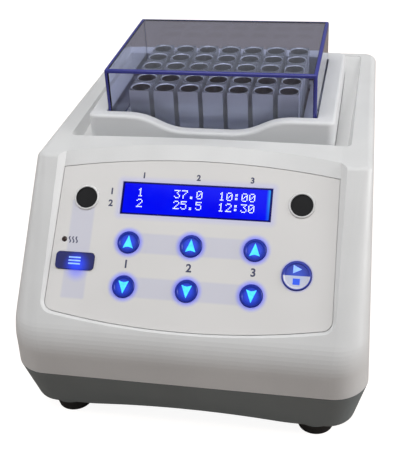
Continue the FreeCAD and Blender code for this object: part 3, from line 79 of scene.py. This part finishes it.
def on_panel(u, v, n=0.0):
    return PANEL_ORIGIN + (PANEL_U * u + PANEL_V * v + PANEL_N * n) * MM


# Node graphs

NOISE_ROUGHNESS = 0.55


class Graph:
    """A small helper that adds nodes to one material and links them."""

    def __init__(self, name):
        self.material = bpy.data.materials.new(name)
        self.material.use_nodes = True
        self.tree = self.material.node_tree
        self.tree.nodes.clear()
        self.out = self.add("ShaderNodeOutputMaterial")
        self.place = self.add("ShaderNodeTexCoord").outputs["Object"]

    def add(self, kind, **settings):
        node = self.tree.nodes.new(kind)
        for key, value in settings.items():
            setattr(node, key, value)
        return node

    def feed(self, socket, value):
        if isinstance(value, bpy.types.NodeSocket):
            self.tree.links.new(value, socket)
        elif value is not None:
            socket.default_value = value

    def math(self, operation, a, b=None):
        node = self.add("ShaderNodeMath", operation=operation)
        for socket, value in zip(node.inputs, (a, b)):
            self.feed(socket, value)
        return node.outputs[0]

    def dot(self, vector, direction):
        node = self.add("ShaderNodeVectorMath", operation="DOT_PRODUCT")
        self.feed(node.inputs[0], vector)
        self.feed(node.inputs[1], tuple(direction))
        return node.outputs["Value"]

    def ramp(self, value, low, high, start=0.0, end=1.0):
        """A smooth step from start to end while value goes from low to high."""
        node = self.add("ShaderNodeMapRange", interpolation_type="SMOOTHSTEP")
        self.feed(node.inputs["Value"], value)
        for name, number in (("From Min", low), ("From Max", high), ("To Min", start), ("To Max", end)):
            node.inputs[name].default_value = number
        return node.outputs[0]

    def mix(self, share, first, second, blend="MIX"):
        node = self.add("ShaderNodeMix", data_type="RGBA", blend_type=blend)
        self.feed(node.inputs[0], share)
        self.feed(node.inputs[6], first)
        self.feed(node.inputs[7], second)
        return node.outputs[2]

    def noise(self, size, detail=3.0, stretch=(1, 1, 1)):
        """Noise whose features are about size metres across, drawn out along an axis by stretch."""
        mapping = self.add("ShaderNodeMapping")
        self.feed(mapping.inputs["Vector"], self.place)
        mapping.inputs["Scale"].default_value = tuple(1 / s for s in stretch)
        node = self.add("ShaderNodeTexNoise")
        self.feed(node.inputs["Vector"], mapping.outputs[0])
        node.inputs["Scale"].default_value = 1 / size
        node.inputs["Detail"].default_value = detail
        node.inputs["Roughness"].default_value = NOISE_ROUGHNESS
        return node.outputs["Fac"]

    def bump(self, height, distance, strength):
        node = self.add("ShaderNodeBump")
        self.feed(node.inputs["Height"], height)
        node.inputs["Distance"].default_value = distance
        node.inputs["Strength"].default_value = strength
        return node.outputs[0]

    def panel_coordinates(self):
        """u and v of the point, in millimetres in the panel's plane."""
        shift = self.add("ShaderNodeVectorMath", operation="SUBTRACT")
        self.feed(shift.inputs[0], self.place)
        self.feed(shift.inputs[1], tuple(PANEL_ORIGIN))
        return self.dot(shift.outputs[0], PANEL_U / MM), self.dot(shift.outputs[0], PANEL_V / MM)

    def length(self, a, b):
        """The length of the vector (a, b)."""
        return self.math("SQRT", self.math("ADD", self.math("MULTIPLY", a, a), self.math("MULTIPLY", b, b)))

    def distance(self, u, v, centre):
        return self.length(self.math("SUBTRACT", u, centre[0]), self.math("SUBTRACT", v, centre[1]))

    def box_distance(self, u, v, centre, size, corner=0.0):
        """How far the point lies outside a rectangle with rounded corners; never below minus corner."""
        beyond = []
        for value, middle, full in ((u, centre[0], size[0]), (v, centre[1], size[1])):
            away = self.math("ABSOLUTE", self.math("SUBTRACT", value, middle))
            beyond.append(self.math("MAXIMUM", self.math("SUBTRACT", away, full / 2 - corner), 0.0))
        return self.math("SUBTRACT", self.length(*beyond), corner)

    def finish(self, color, roughness, normal=None, **inputs):
        """Join everything in one shader; inputs are its other sockets, with _ for a space."""
        shader = self.add("ShaderNodeBsdfPrincipled")
        self.feed(shader.inputs["Base Color"], color)
        self.feed(shader.inputs["Roughness"], roughness)
        self.feed(shader.inputs["Normal"], normal)
        for name, value in inputs.items():
            self.feed(shader.inputs[name.replace("_", " ")], value)
        self.tree.links.new(shader.outputs[0], self.out.inputs["Surface"])
        return self.material


def shade(color, factor):
    return tuple(min(1.0, c * factor) for c in color[:3]) + (1.0,)


# Materials

def moulded(name, color, roughness=0.42, mottle=0.03, grain=0.00045, depth=0.00001, **inputs):
    """Moulded plastic: a fine spark texture, slightly uneven colour and gloss."""
    g = Graph(name)
    broad = g.noise(0.045, 2.0)
    fine = g.noise(grain, 2.0)
    tint = g.mix(g.ramp(broad, 0.3, 0.7), shade(color, 1 - mottle), shade(color, 1 + mottle))
    darker = g.mix(1.0, tint, shade((1, 1, 1), 0.965), "MULTIPLY")
    speck = g.mix(g.ramp(fine, 0.35, 0.7, 0.0, 0.5), tint, darker)
    gloss = g.ramp(g.noise(0.02, 3.0), 0.25, 0.75, roughness - 0.05, roughness + 0.06)
    return g.finish(speck, gloss, g.bump(fine, depth, 0.6), **inputs)


def metal(name, color, roughness=0.32, stretch=(1, 1, 1), grain=0.0006, depth=0.000006, metallic=1.0):
    """Turned, milled or drawn metal with a fine grain along one way."""
    g = Graph(name)
    lines = g.noise(grain, 4.0, stretch)
    stain = g.noise(0.018, 3.0)
    tint = g.mix(g.ramp(stain, 0.3, 0.75), shade(color, 0.93), shade(color, 1.04))
    gloss = g.math("ADD", g.ramp(lines, 0.2, 0.8, roughness - 0.06, roughness + 0.06),
                   g.ramp(stain, 0.3, 0.8, -0.02, 0.05))
    return g.finish(tint, gloss, g.bump(lines, depth, 0.5), Metallic=metallic)


def rubber(name, color):
    """Black rubber or foam: fine pores and a little dust."""
    g = Graph(name)
    pores = g.noise(0.0004, 5.0)
    dust = g.ramp(g.noise(0.006, 4.0), 0.45, 0.8)
    tint = g.mix(dust, shade(color, 1.0), shade(color, 1.7))
    return g.finish(tint, g.ramp(pores, 0.3, 0.7, 0.62, 0.82), g.bump(pores, 0.00004, 0.6))


def overlay_film():
    """The printed film of the panel: matt, with soft light from the keys and the display under it."""
    base = (0.785, 0.77, 0.755, 1)
    lavender = (0.62, 0.625, 0.77, 1)
    glow = (0.16, 0.19, 0.95, 1)
    g = Graph("panel_film")
    u, v = g.panel_coordinates()
    grain = g.noise(0.0005, 3.0)
    color = g.mix(g.ramp(g.noise(0.05, 2.0), 0.3, 0.7), shade(base, 0.985), shade(base, 1.015))
    bands = [((PROG[0] + 1.0, -31.0), (11.5, 55.0))]
    bands += [((0.0, row), (60.0, 9.5)) for row in KEY_ROWS.values()]
    for centre, size in bands:
        reach = g.box_distance(u, v, centre, size)
        color = g.mix(g.ramp(reach, 0.0, 1.8, 0.6, 0.0), color, lavender)
    glows = [g.ramp(g.math("SUBTRACT", g.distance(u, v, centre), KEY_RADIUS), 0.0, 3.4, 0.75, 0.0)
             for centre in ROUND_KEYS.values()]
    glows.append(g.ramp(g.math("SUBTRACT", g.distance(u, v, START), START_RADIUS), 0.0, 1.6, 0.35, 0.0))
    glows.append(g.ramp(g.distance(u, v, (PROG[0] + 1.5, PROG[1] - 4.6)), 1.0, 8.5, 0.7, 0.0))
    glows.append(g.ramp(g.box_distance(u, v, (0, 0), DISPLAY_SIZE), 0.0, 4.5, 0.22, 0.0))
    lit = glows[0]
    for near in glows[1:]:
        lit = g.math("MAXIMUM", lit, near)
    return g.finish(g.mix(lit, color, glow), g.ramp(grain, 0.3, 0.7, 0.46, 0.6), g.bump(grain, 0.000012, 0.5),
                    Emission_Strength=0.3, Emission_Color=g.mix(lit, (0, 0, 0, 1), glow))


def cap_finish(g, color, gloss_low, gloss_high, **inputs):
    """Finish the material of a key's cap with its fine grain."""
    grain = g.noise(0.0004, 2.0)
    gloss = g.ramp(grain, 0.3, 0.7, gloss_low, gloss_high)
    return g.finish(color, gloss, g.bump(grain, 0.000006, 0.4), **inputs)


def key_cap(name, centre):
    """A backlit cap: its colour is painted lighter round the lit sign and deeper blue at its rim, for the
    light from behind it, and it glows the same way.
    """
    g = Graph(name)
    u, v = g.panel_coordinates()
    rim = g.ramp(g.distance(u, v, centre), KEY_RADIUS * 0.35, KEY_RADIUS * 0.95)
    # Painted light: the cap's colour is lighter round the sign, as the light from behind it, and darker
    # towards the rim.
    color = g.mix(rim, (0.02, 0.05, 0.62, 1), (0.008, 0.02, 0.30, 1))
    light = g.mix(rim, (0.02, 0.10, 1.0, 1), (0.0, 0.01, 0.16, 1))
    return cap_finish(g, color, 0.26, 0.36, Specular_IOR_Level=0.3,
                      Emission_Strength=0.30, Emission_Color=light)


def start_cap():
    """The start and stop cap: its upper half blue, its lower half pale, with a thin blue ring."""
    g = Graph("start_stop_cap")
    u, v = g.panel_coordinates()
    away = g.distance(u, v, START)
    half = g.ramp(v, START[1] - 0.15, START[1] + 0.15)
    ring = g.ramp(away, START_RADIUS - 0.85, START_RADIUS - 0.6)
    # Painted glow: both halves are painted bluer towards the middle, the blue half lighter there too, for the
    # light from behind the cap.
    blue = g.mix(g.ramp(away, 1.0, START_RADIUS), (0.03, 0.09, 0.72, 1), (0.012, 0.03, 0.40, 1))
    pale = g.mix(g.ramp(away, 1.0, START_RADIUS), (0.58, 0.66, 0.92, 1), (0.68, 0.69, 0.79, 1))
    color = g.mix(g.math("MAXIMUM", half, ring), pale, blue)
    return cap_finish(g, color, 0.28, 0.38, Coat_Weight=0.2, Coat_Roughness=0.2)


def prog_cap():
    """The program key's navy cap, lit from behind its sign."""
    g = Graph("program_cap")
    u, v = g.panel_coordinates()
    near = g.ramp(g.distance(u, v, (PROG[0] + 1.5, PROG[1] - 2.4)), 0.5, 9.0, 1.0, 0.0)
    color = g.mix(near, (0.010, 0.014, 0.13, 1), (0.02, 0.05, 0.72, 1))
    light = g.mix(near, (0, 0, 0.02, 1), (0.0, 0.04, 0.9, 1))
    return cap_finish(g, color, 0.3, 0.4, Emission_Strength=0.5, Emission_Color=light)


def display_glass():
    """The lit blue window: navy border, an even field and the brighter end of its lamp at the right."""
    g = Graph("display_glass")
    u, v = g.panel_coordinates()
    width, height = DISPLAY_SIZE
    inside = g.box_distance(u, v, (0, 0), (width - 3.0, height - 2.4), 0.2)
    border = g.ramp(inside, 0.15, 0.6)
    strip = g.math("MULTIPLY", g.ramp(u, width / 2 - 3.4, width / 2 - 1.2), g.ramp(v, -8.0, 4.0, 0.35, 1.0))
    field = g.mix(g.ramp(g.noise(0.02, 2.0), 0.3, 0.7), (0.0, 0.0, 0.93, 1), (0.0, 0.006, 1.0, 1))
    field = g.mix(strip, field, (0.02, 0.32, 1.0, 1))
    field = g.mix(border, field, (0.004, 0.004, 0.10, 1))
    return g.finish(g.mix(0.9, field, (0.0, 0.0, 0.05, 1)), g.ramp(g.noise(0.004), 0.2, 0.8, 0.06, 0.10),
                    Emission_Strength=0.82, Specular_IOR_Level=0.06, Emission_Color=field)


def glowing(name, color, strength):
    """A sign lit from behind, a little uneven."""
    g = Graph(name)
    level = g.ramp(g.noise(0.002, 2.0), 0.3, 0.7)
    tint = g.mix(level, shade(color, 0.8), shade(color, 1.0))
    return g.finish(tint, g.ramp(level, 0.0, 1.0, 0.4, 0.5), Emission_Strength=strength, Emission_Color=tint)


def acrylic(name, color, roughness, clear=1.0):
    """Clear cast acrylic with a violet tint; its edges let less light through."""
    g = Graph(name)
    haze = g.ramp(g.noise(0.03, 3.0), 0.25, 0.8, roughness, roughness + 0.03)
    tint = g.mix(g.ramp(g.noise(0.06, 2.0), 0.3, 0.7), shade(color, 0.985), shade(color, 1.0))
    return g.finish(tint, haze, IOR=1.49, Transmission_Weight=clear)


def block_metal():
    """The milled tube block: bright faces; its tops painted darker grey as shade, with the rims round the
    wells left bright as a painted highlight; and painted shade inside its wells.
    """
    g = Graph("block_aluminium")
    axes = g.add("ShaderNodeSeparateXYZ")
    g.feed(axes.inputs[0], g.place)
    offsets = []
    for value, middle in ((axes.outputs["X"], 0.0), (axes.outputs["Y"], BLOCK_Y)):
        steps = g.math("DIVIDE", g.math("SUBTRACT", value, middle * MM), WELL_PITCH * MM)
        offsets.append(g.math("SUBTRACT", steps, g.math("ROUND", steps)))
    away = g.math("MULTIPLY", g.length(*offsets), WELL_PITCH)
    top = BLOCK_TOP * MM
    # Painted shade: inside each well, below the rim, the colour is made much darker.
    well_shade = g.math("MULTIPLY", g.ramp(away, WELL_RADIUS + 0.05, WELL_RADIUS + 0.15, 1.0, 0.0),
                  g.ramp(axes.outputs["Z"], top - 0.0006, top - 0.0004, 1.0, 0.0))
    # Painted shade on the flat tops away from the rims, which leaves the rims bright as a painted highlight.
    top_shade = g.math("MULTIPLY", g.ramp(away, WELL_RADIUS + 0.5, WELL_RADIUS + 0.75),
                  g.ramp(axes.outputs["Z"], top - 0.0001, top - 0.00002))
    lines = g.noise(0.0006, 4.0, (1, 1, 4))
    stain = g.noise(0.018, 3.0)
    color = g.mix(g.ramp(stain, 0.3, 0.75), (0.78, 0.79, 0.80, 1), (0.86, 0.87, 0.88, 1))
    color = g.mix(top_shade, color, (0.34, 0.35, 0.37, 1))
    color = g.mix(well_shade, color, (0.17, 0.175, 0.19, 1))
    gloss = g.math("ADD", g.ramp(lines, 0.2, 0.8, 0.36, 0.48), g.ramp(stain, 0.3, 0.8, -0.02, 0.05))
    return g.finish(color, gloss, g.bump(lines, 0.000006, 0.5), Metallic=0.5)


MATERIALS = {
    "casing": moulded("casing_plastic", (0.72, 0.72, 0.715, 1), 0.40),
    "base": moulded("base_plastic", (0.195, 0.226, 0.234, 1), 0.48, 0.05),
    "deck": moulded("deck_plastic", (0.76, 0.765, 0.775, 1), 0.40),
    "overlay": overlay_film(),
    "badge": moulded("badge_black", (0.008, 0.008, 0.009, 1), 0.5, 0.05, Specular_IOR_Level=0.2),
    "display": display_glass(),
    "dark_key": prog_cap(),
    "lamp": moulded("lamp_lens", (0.035, 0.018, 0.016, 1), 0.18, 0.1),
    "rubber": rubber("foot_rubber", (0.016, 0.016, 0.016, 1)),
    "steel": metal("plated_steel", (0.56, 0.56, 0.57, 1), 0.3),
    "brass": metal("plated_brass", (0.62, 0.52, 0.30, 1), 0.3),
    "aluminium": metal("plain_aluminium", (0.80, 0.81, 0.83, 1), 0.42, (1, 1, 4), metallic=0.6),
    "foam": rubber("silicone_foam", (0.03, 0.03, 0.03, 1)),
    "ceramic": moulded("module_ceramic", (0.78, 0.78, 0.75, 1), 0.5),
    "black_plastic": moulded("black_nylon", (0.014, 0.014, 0.015, 1), 0.42, 0.08),
    "board": moulded("circuit_board", (0.012, 0.10, 0.035, 1), 0.3, 0.12),
    "copper": metal("coil_copper", (0.45, 0.22, 0.12, 1), 0.35, (6, 6, 1)),
    "can": moulded("capacitor_sleeve", (0.02, 0.02, 0.05, 1), 0.3, 0.1),
    "white_plastic": moulded("white_nylon", (0.72, 0.72, 0.68, 1), 0.45),
    "lead": moulded("lead_cover", (0.02, 0.02, 0.025, 1), 0.45, 0.1),
}
slot_of = {item["node"]: item["material_slot"] for item in frame["record"]["subparts"]}


def paint(obj, material):
    """Give obj one material; its faces keep their material numbers if it had none before."""
    if obj.data.materials:
        obj.data.materials.clear()
    obj.data.materials.append(material)


for node, obj in frame["nodes"].items():
    if slot_of[node] in MATERIALS:
        paint(obj, MATERIALS[slot_of[node]])
for name, centre in ROUND_KEYS.items():
    paint(frame["nodes"][name], key_cap(name + "_cap", centre))
paint(frame["nodes"]["start_stop_key"], start_cap())
paint(frame["nodes"]["tube_block"], block_metal())


# Pieces made here

def new_piece(name, mesh, body, material):
    obj = bpy.data.objects.new(name, mesh)
    scene.collection.objects.link(obj)
    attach(obj, body)
    paint(obj, material)
    return obj


def panel_plates(name, outlines, low, high, body, material):
    """Thin plates on the panel over closed outlines of (u, v), from low to high along n."""
    mesh = bpy.data.meshes.new(name)
    bm = bmesh.new()
    for outline in outlines:
        tops = [bm.verts.new(on_panel(u, v, high)) for u, v in outline]
        bottoms = [bm.verts.new(on_panel(u, v, low)) for u, v in outline]
        bm.faces.new(tops)
        bm.faces.new(bottoms[::-1])
        for i in range(len(outline)):
            j = (i + 1) % len(outline)
            bm.faces.new((tops[i], bottoms[i], bottoms[j], tops[j]))
    bmesh.ops.recalc_face_normals(bm, faces=bm.faces)
    bm.to_mesh(mesh)
    bm.free()
    return new_piece(name, mesh, body, material)


def rectangle(u, v, width, height):
    return [(u - width / 2, v - height / 2), (u + width / 2, v - height / 2),
            (u + width / 2, v + height / 2), (u - width / 2, v + height / 2)]


# Signs are sunk a little into the face below them and stand a little above it.
SIGN_SINK = 0.02
ARROW_RISE = 0.08
SIGN_RISE = 0.06

# Lit arrows on the six round keys; those of the lower row point down
ARROW = [(0.0, 3.9), (2.9, -3.3), (1.4, -2.75), (0.0, -2.45), (-1.4, -2.75), (-2.9, -3.3)]
arrow_light = glowing("arrow_light", (0.05, 0.55, 1.0, 1), 1.0)
for name, (u, v) in ROUND_KEYS.items():
    way = 1 if v == KEY_ROWS["up"] else -1
    panel_plates(name + "_arrow", [[(u + a, v + b * way) for a, b in ARROW]],
                 KEY_FACE - SIGN_SINK, KEY_FACE + ARROW_RISE, name, arrow_light)

# Generic start and stop signs, and three bars on the program key
START_TRIANGLE = [(-2.0, 1.3), (2.6, 3.6), (-2.0, 5.9)]
sign_light = glowing("sign_light", (0.25, 0.45, 1.0, 1), 0.7)
panel_plates("start_sign", [[(START[0] + a, START[1] + b) for a, b in START_TRIANGLE]],
             KEY_FACE - SIGN_SINK, KEY_FACE + SIGN_RISE, "start_stop_key", sign_light)
stop_blue = glowing("stop_blue", (0.02, 0.10, 0.85, 1), 0.4)
panel_plates("stop_sign", [rectangle(START[0], START[1] - 3.2, 3.8, 3.4)],
             KEY_FACE - SIGN_SINK, KEY_FACE + SIGN_RISE, "start_stop_key", stop_blue)
panel_plates("program_sign", [rectangle(PROG[0], PROG[1] + dv, 7.0, 0.8) for dv in (-1.8, 0.0, 1.8)],
             PROG_FACE - SIGN_SINK, PROG_FACE + SIGN_RISE, "program_key", sign_light)

# Characters of the display: plain numerals in a matrix five dots wide and seven high, row by row
GLYPHS = {
    "0": "01110 10001 10011 10101 11001 10001 01110", "1": "00100 01100 00100 00100 00100 00100 01110",
    "2": "01110 10001 00001 00010 00100 01000 11111", "3": "11111 00010 00100 00010 00001 10001 01110",
    "5": "11111 10000 11110 00001 00001 10001 01110", "7": "11111 00001 00010 00100 01000 01000 01000",
    ":": "00000 01100 01100 00000 01100 01100 00000", ".": "00000 00000 00000 00000 00000 01100 01100",
    " ": " ".join(["00000"] * 7),
}
LINES = ["1    37.0  10:00", "2    25.5  12:30"]
DOT_PITCH, DOT_SIZE = 0.70, 0.52
CHARACTER_PITCH, LINE_PITCH = 4.25, 6.3
FIRST_DOT = (0.4, 2.6)
dots = []
for line, text in enumerate(LINES):
    top = LINE_PITCH / 2 + FIRST_DOT[1] - line * LINE_PITCH
    for column, letter in enumerate(text):
        left = (column - len(text) / 2) * CHARACTER_PITCH + FIRST_DOT[0]
        for j, row in enumerate(GLYPHS[letter].split()):
            for i, bit in enumerate(row):
                if bit == "1":
                    dots.append(rectangle(left + i * DOT_PITCH, top - j * DOT_PITCH, DOT_SIZE, DOT_SIZE))
panel_plates("display_characters", dots, DISPLAY_FACE - 0.01, DISPLAY_FACE + 0.03, "casing",
             glowing("character_light", (0.80, 0.88, 1.0, 1), 0.9))

# Plain numerals printed on the film
CAP_SHARE = 0.7
PRINT_HEIGHT = 0.02
STROKE_GROWTH = 0.18
print_ink = moulded("legend_ink", (0.055, 0.06, 0.13, 1), 0.5, 0.08)


def printed_numeral(name, number, u, v, height):
    """One numeral as a thin plate on the film; its capitals would be height tall."""
    curve = bpy.data.curves.new(name, "FONT")
    curve.body = str(number)
    curve.size = height * MM / CAP_SHARE
    curve.align_x = "CENTER"
    curve.align_y = "CENTER"
    curve.extrude = PRINT_HEIGHT * MM
    curve.offset = STROKE_GROWTH * MM
    text_object = bpy.data.objects.new(name + "_text", curve)
    scene.collection.objects.link(text_object)
    mesh = bpy.data.meshes.new_from_object(text_object)
    bpy.data.objects.remove(text_object)
    turn = Matrix((PANEL_U, PANEL_V, PANEL_N)).transposed().to_4x4()
    mesh.transform(Matrix.Translation(on_panel(u, v, PRINT_HEIGHT)) @ turn)
    mesh.name = name
    return new_piece(name, mesh, "casing", print_ink)


NUMERAL_ROW = sum(KEY_ROWS.values()) / 2
for number, (key_u, display_u) in enumerate(zip(KEY_COLUMNS.values(), (-31.0, 0.5, 31.0)), start=1):
    printed_numeral("column_numeral_%d" % number, number, key_u, NUMERAL_ROW, 4.4)
    printed_numeral("display_numeral_%d" % number, number, display_u, 13.4, 3.2)
for number, v in enumerate((3.2, -3.8), start=1):
    printed_numeral("line_numeral_%d" % number, number, -48.8, v, 3.6)

# Heat sign right of the lamp: three small upright waves
WAVE_START, WAVE_PITCH = (-70.0, -28.0), 2.0
WAVE_STEPS, WAVE_RISE, WAVE_SWING, WAVE_HALF = 8, 0.46, 0.45, 0.36
waves = []
for i in range(3):
    left = WAVE_START[0] + i * WAVE_PITCH
    middle = [(left + WAVE_SWING * math.sin(t / WAVE_STEPS * 2 * math.pi), WAVE_START[1] + t * WAVE_RISE)
              for t in range(WAVE_STEPS + 1)]
    waves.append([(u - WAVE_HALF, v) for u, v in middle] + [(u + WAVE_HALF, v) for u, v in reversed(middle)])
panel_plates("heat_sign", waves, -0.01, 0.04, "casing", print_ink)

# Light rims round the two bare badges; the profile is (beyond the badge, above the film)
RIM_PROFILE = [(0.05, 0.0), (0.05, 0.45), (0.35, 0.75), (0.95, 0.6), (1.35, 0.0)]
RIM_STEPS = 64
rim_white = moulded("badge_rim", (0.76, 0.755, 0.75, 1), 0.35)
for name, centre in BADGES.items():
    mesh = bpy.data.meshes.new(name + "_badge_rim")
    bm = bmesh.new()
    rings = []
    for i in range(RIM_STEPS):
        angle = 2 * math.pi * i / RIM_STEPS
        rings.append([bm.verts.new(on_panel(centre[0] + (BADGE_RADIUS + out) * math.cos(angle),
                                            centre[1] + (BADGE_RADIUS + out) * math.sin(angle), n))
                      for out, n in RIM_PROFILE])
    for i, ring in enumerate(rings):
        following = rings[(i + 1) % RIM_STEPS]
        for j in range(len(RIM_PROFILE)):
            k = (j + 1) % len(RIM_PROFILE)
            bm.faces.new((ring[j], ring[k], following[k], following[j]))
    bmesh.ops.recalc_face_normals(bm, faces=bm.faces)
    bm.to_mesh(mesh)
    bm.free()
    mesh.shade_smooth()
    new_piece(name + "_badge_rim", mesh, "casing", rim_white)


# Lid: one open box of clear acrylic with rounded, darker edges

def is_outer_pane(face):
    """Whether a face is one of the five large outer faces of the lid."""
    middle = face.calc_center_median() / MM
    return (middle.z > LID_TOP - 0.1 or abs(middle.x) > LID_X - 0.1
            or abs(middle.y - BLOCK_Y) > LID_Y - 0.1)


def lid_mesh():
    """The lid's shell; faces of material 1 are its edges, borders and lower rim."""
    mesh = bpy.data.meshes.new("lid_shell")
    bm = bmesh.new()

    def ring(half_x, half_y, level):
        return [bm.verts.new(Vector((sx * half_x, BLOCK_Y + sy * half_y, level)) * MM)
                for sx, sy in CORNERS]

    outer_low, outer_top = ring(LID_X, LID_Y, LID_LOW), ring(LID_X, LID_Y, LID_TOP)
    inner_low = ring(LID_X - LID_WALL, LID_Y - LID_WALL, LID_LOW)
    inner_top = ring(LID_X - LID_WALL, LID_Y - LID_WALL, LID_TOP - LID_WALL)
    bm.faces.new(outer_top)
    bm.faces.new(inner_top[::-1])
    for i in range(4):
        j = (i + 1) % 4
        bm.faces.new((outer_low[i], outer_low[j], outer_top[j], outer_top[i]))
        bm.faces.new((inner_low[j], inner_low[i], inner_top[i], inner_top[j]))
        bm.faces.new((outer_low[j], outer_low[i], inner_low[i], inner_low[j]))
    bmesh.ops.recalc_face_normals(bm, faces=bm.faces)
    top_set, low_set = set(outer_top), set(outer_low)
    edges = [edge for edge in bm.edges
             if set(edge.verts) <= top_set | low_set and not set(edge.verts) <= low_set]
    result = bmesh.ops.bevel(bm, geom=edges, offset=LID_BEVEL * MM, segments=3, profile=0.5, affect="EDGES")
    for face in result["faces"]:
        face.material_index = 1
        face.smooth = True
    panes = [face for face in bm.faces if face.material_index == 0 and is_outer_pane(face)]
    border = bmesh.ops.inset_individual(bm, faces=panes, thickness=(LID_WALL - LID_BEVEL) * MM)
    for face in border["faces"]:
        face.material_index = 1
    for face in bm.faces:
        if face.normal.z < -0.9 and face.calc_center_median().z < (LID_LOW + 1) * MM:
            face.material_index = 1
    bm.to_mesh(mesh)
    bm.free()
    return mesh


lid = new_piece("lid_shell", lid_mesh(), "lid", acrylic("lid_acrylic", (0.80, 0.835, 0.99, 1), 0.0))
lid.data.materials.append(acrylic("lid_edge_acrylic", (0.045, 0.05, 0.30, 1), 0.2, 0.1))
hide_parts("clear_lid")


# Floor: it throws a soft warm light back on the object and looks pale to the camera

FLOOR_REACH = 6
FLOOR_COLOR = (0.34, 0.285, 0.25, 1)
FLOOR_LIFT = 0.92
floor_mesh = bpy.data.meshes.new("floor")
floor_mesh.from_pydata([(sx * FLOOR_REACH, sy * FLOOR_REACH, 0) for sx, sy in CORNERS], [], [(0, 1, 2, 3)])
floor = bpy.data.objects.new("floor", floor_mesh)
scene.collection.objects.link(floor)
g = Graph("floor_paint")
soft = g.mix(g.ramp(g.noise(0.4, 2.0), 0.3, 0.7), shade(FLOOR_COLOR, 0.97), shade(FLOOR_COLOR, 1.0))
paper = g.add("ShaderNodeBsdfDiffuse")
g.feed(paper.inputs["Color"], soft)
lift = g.add("ShaderNodeEmission")
path = g.add("ShaderNodeLightPath")
g.feed(lift.inputs["Strength"], g.math("MULTIPLY", path.outputs["Is Camera Ray"], FLOOR_LIFT))
total = g.add("ShaderNodeAddShader")
g.feed(total.inputs[0], paper.outputs[0])
g.feed(total.inputs[1], lift.outputs[0])
g.tree.links.new(total.outputs[0], g.out.inputs["Surface"])
paint(floor, g.material)


# World: white to the camera, and a dim even light on the object

ROOM_COLOR, ROOM_STRENGTH = (0.95, 0.97, 1.0, 1), 0.27
world = bpy.data.worlds.new("studio")
world.use_nodes = True
scene.world = world
tree = world.node_tree
tree.nodes.clear()
output = tree.nodes.new("ShaderNodeOutputWorld")
light_path = tree.nodes.new("ShaderNodeLightPath")
seen = tree.nodes.new("ShaderNodeBackground")
seen.inputs["Color"].default_value = (1, 1, 1, 1)
unseen = tree.nodes.new("ShaderNodeBackground")
unseen.inputs["Color"].default_value = ROOM_COLOR
unseen.inputs["Strength"].default_value = ROOM_STRENGTH
choose = tree.nodes.new("ShaderNodeMixShader")
tree.links.new(light_path.outputs["Is Camera Ray"], choose.inputs[0])
tree.links.new(unseen.outputs[0], choose.inputs[1])
tree.links.new(seen.outputs[0], choose.inputs[2])
tree.links.new(choose.outputs[0], output.inputs["Surface"])


# Softboxes: place in metres, side in metres, power in watts

SOFTBOXES = {
    "top_light": ((-0.05, -0.25, 1.5), 1.2, 12),
    "left_light": ((-1.4, -0.2, 0.8), 0.8, 4.5),
    "right_light": ((1.5, 0.1, 0.7), 0.8, 15),
}
LIGHT_TARGET = Vector((0, 0, 0.1))
for name, (place, side, power) in SOFTBOXES.items():
    data = bpy.data.lights.new(name, "AREA")
    data.shape = "RECTANGLE"
    data.size = side
    data.size_y = side
    data.energy = power
    softbox = bpy.data.objects.new(name, data)
    scene.collection.objects.link(softbox)
    softbox.location = place
    softbox.rotation_euler = (LIGHT_TARGET - Vector(place)).to_track_quat("-Z", "Y").to_euler()
    softbox.visible_camera = False


# Camera at the photograph's viewing angle, turned a little about its own axis

CAMERA_PLACE = (0.09684, -0.48341, 0.36627)
AZIMUTH, ELEVATION, ROLL = math.radians(-12.612), math.radians(31.441), math.radians(3.290)
FOCAL_PIXELS, IMAGE_HEIGHT = 889.96, 450
camera_data = bpy.data.cameras.new("camera")
camera = bpy.data.objects.new("camera", camera_data)
scene.collection.objects.link(camera)
scene.camera = camera
forward = Vector((math.sin(AZIMUTH) * math.cos(ELEVATION), math.cos(AZIMUTH) * math.cos(ELEVATION),
                  -math.sin(ELEVATION)))
level_right = forward.cross(Vector((0, 0, 1))).normalized()
level_down = forward.cross(level_right)
right = level_right * math.cos(ROLL) + level_down * math.sin(ROLL)
down = level_down * math.cos(ROLL) - level_right * math.sin(ROLL)
turn = Matrix((right, -down, -forward)).transposed().to_4x4()
camera.matrix_world = Matrix.Translation(CAMERA_PLACE) @ turn
camera_data.sensor_width = 36
camera_data.lens = FOCAL_PIXELS / IMAGE_HEIGHT * camera_data.sensor_width
camera_data.clip_start = 0.01
scene.view_settings.view_transform = "Standard"
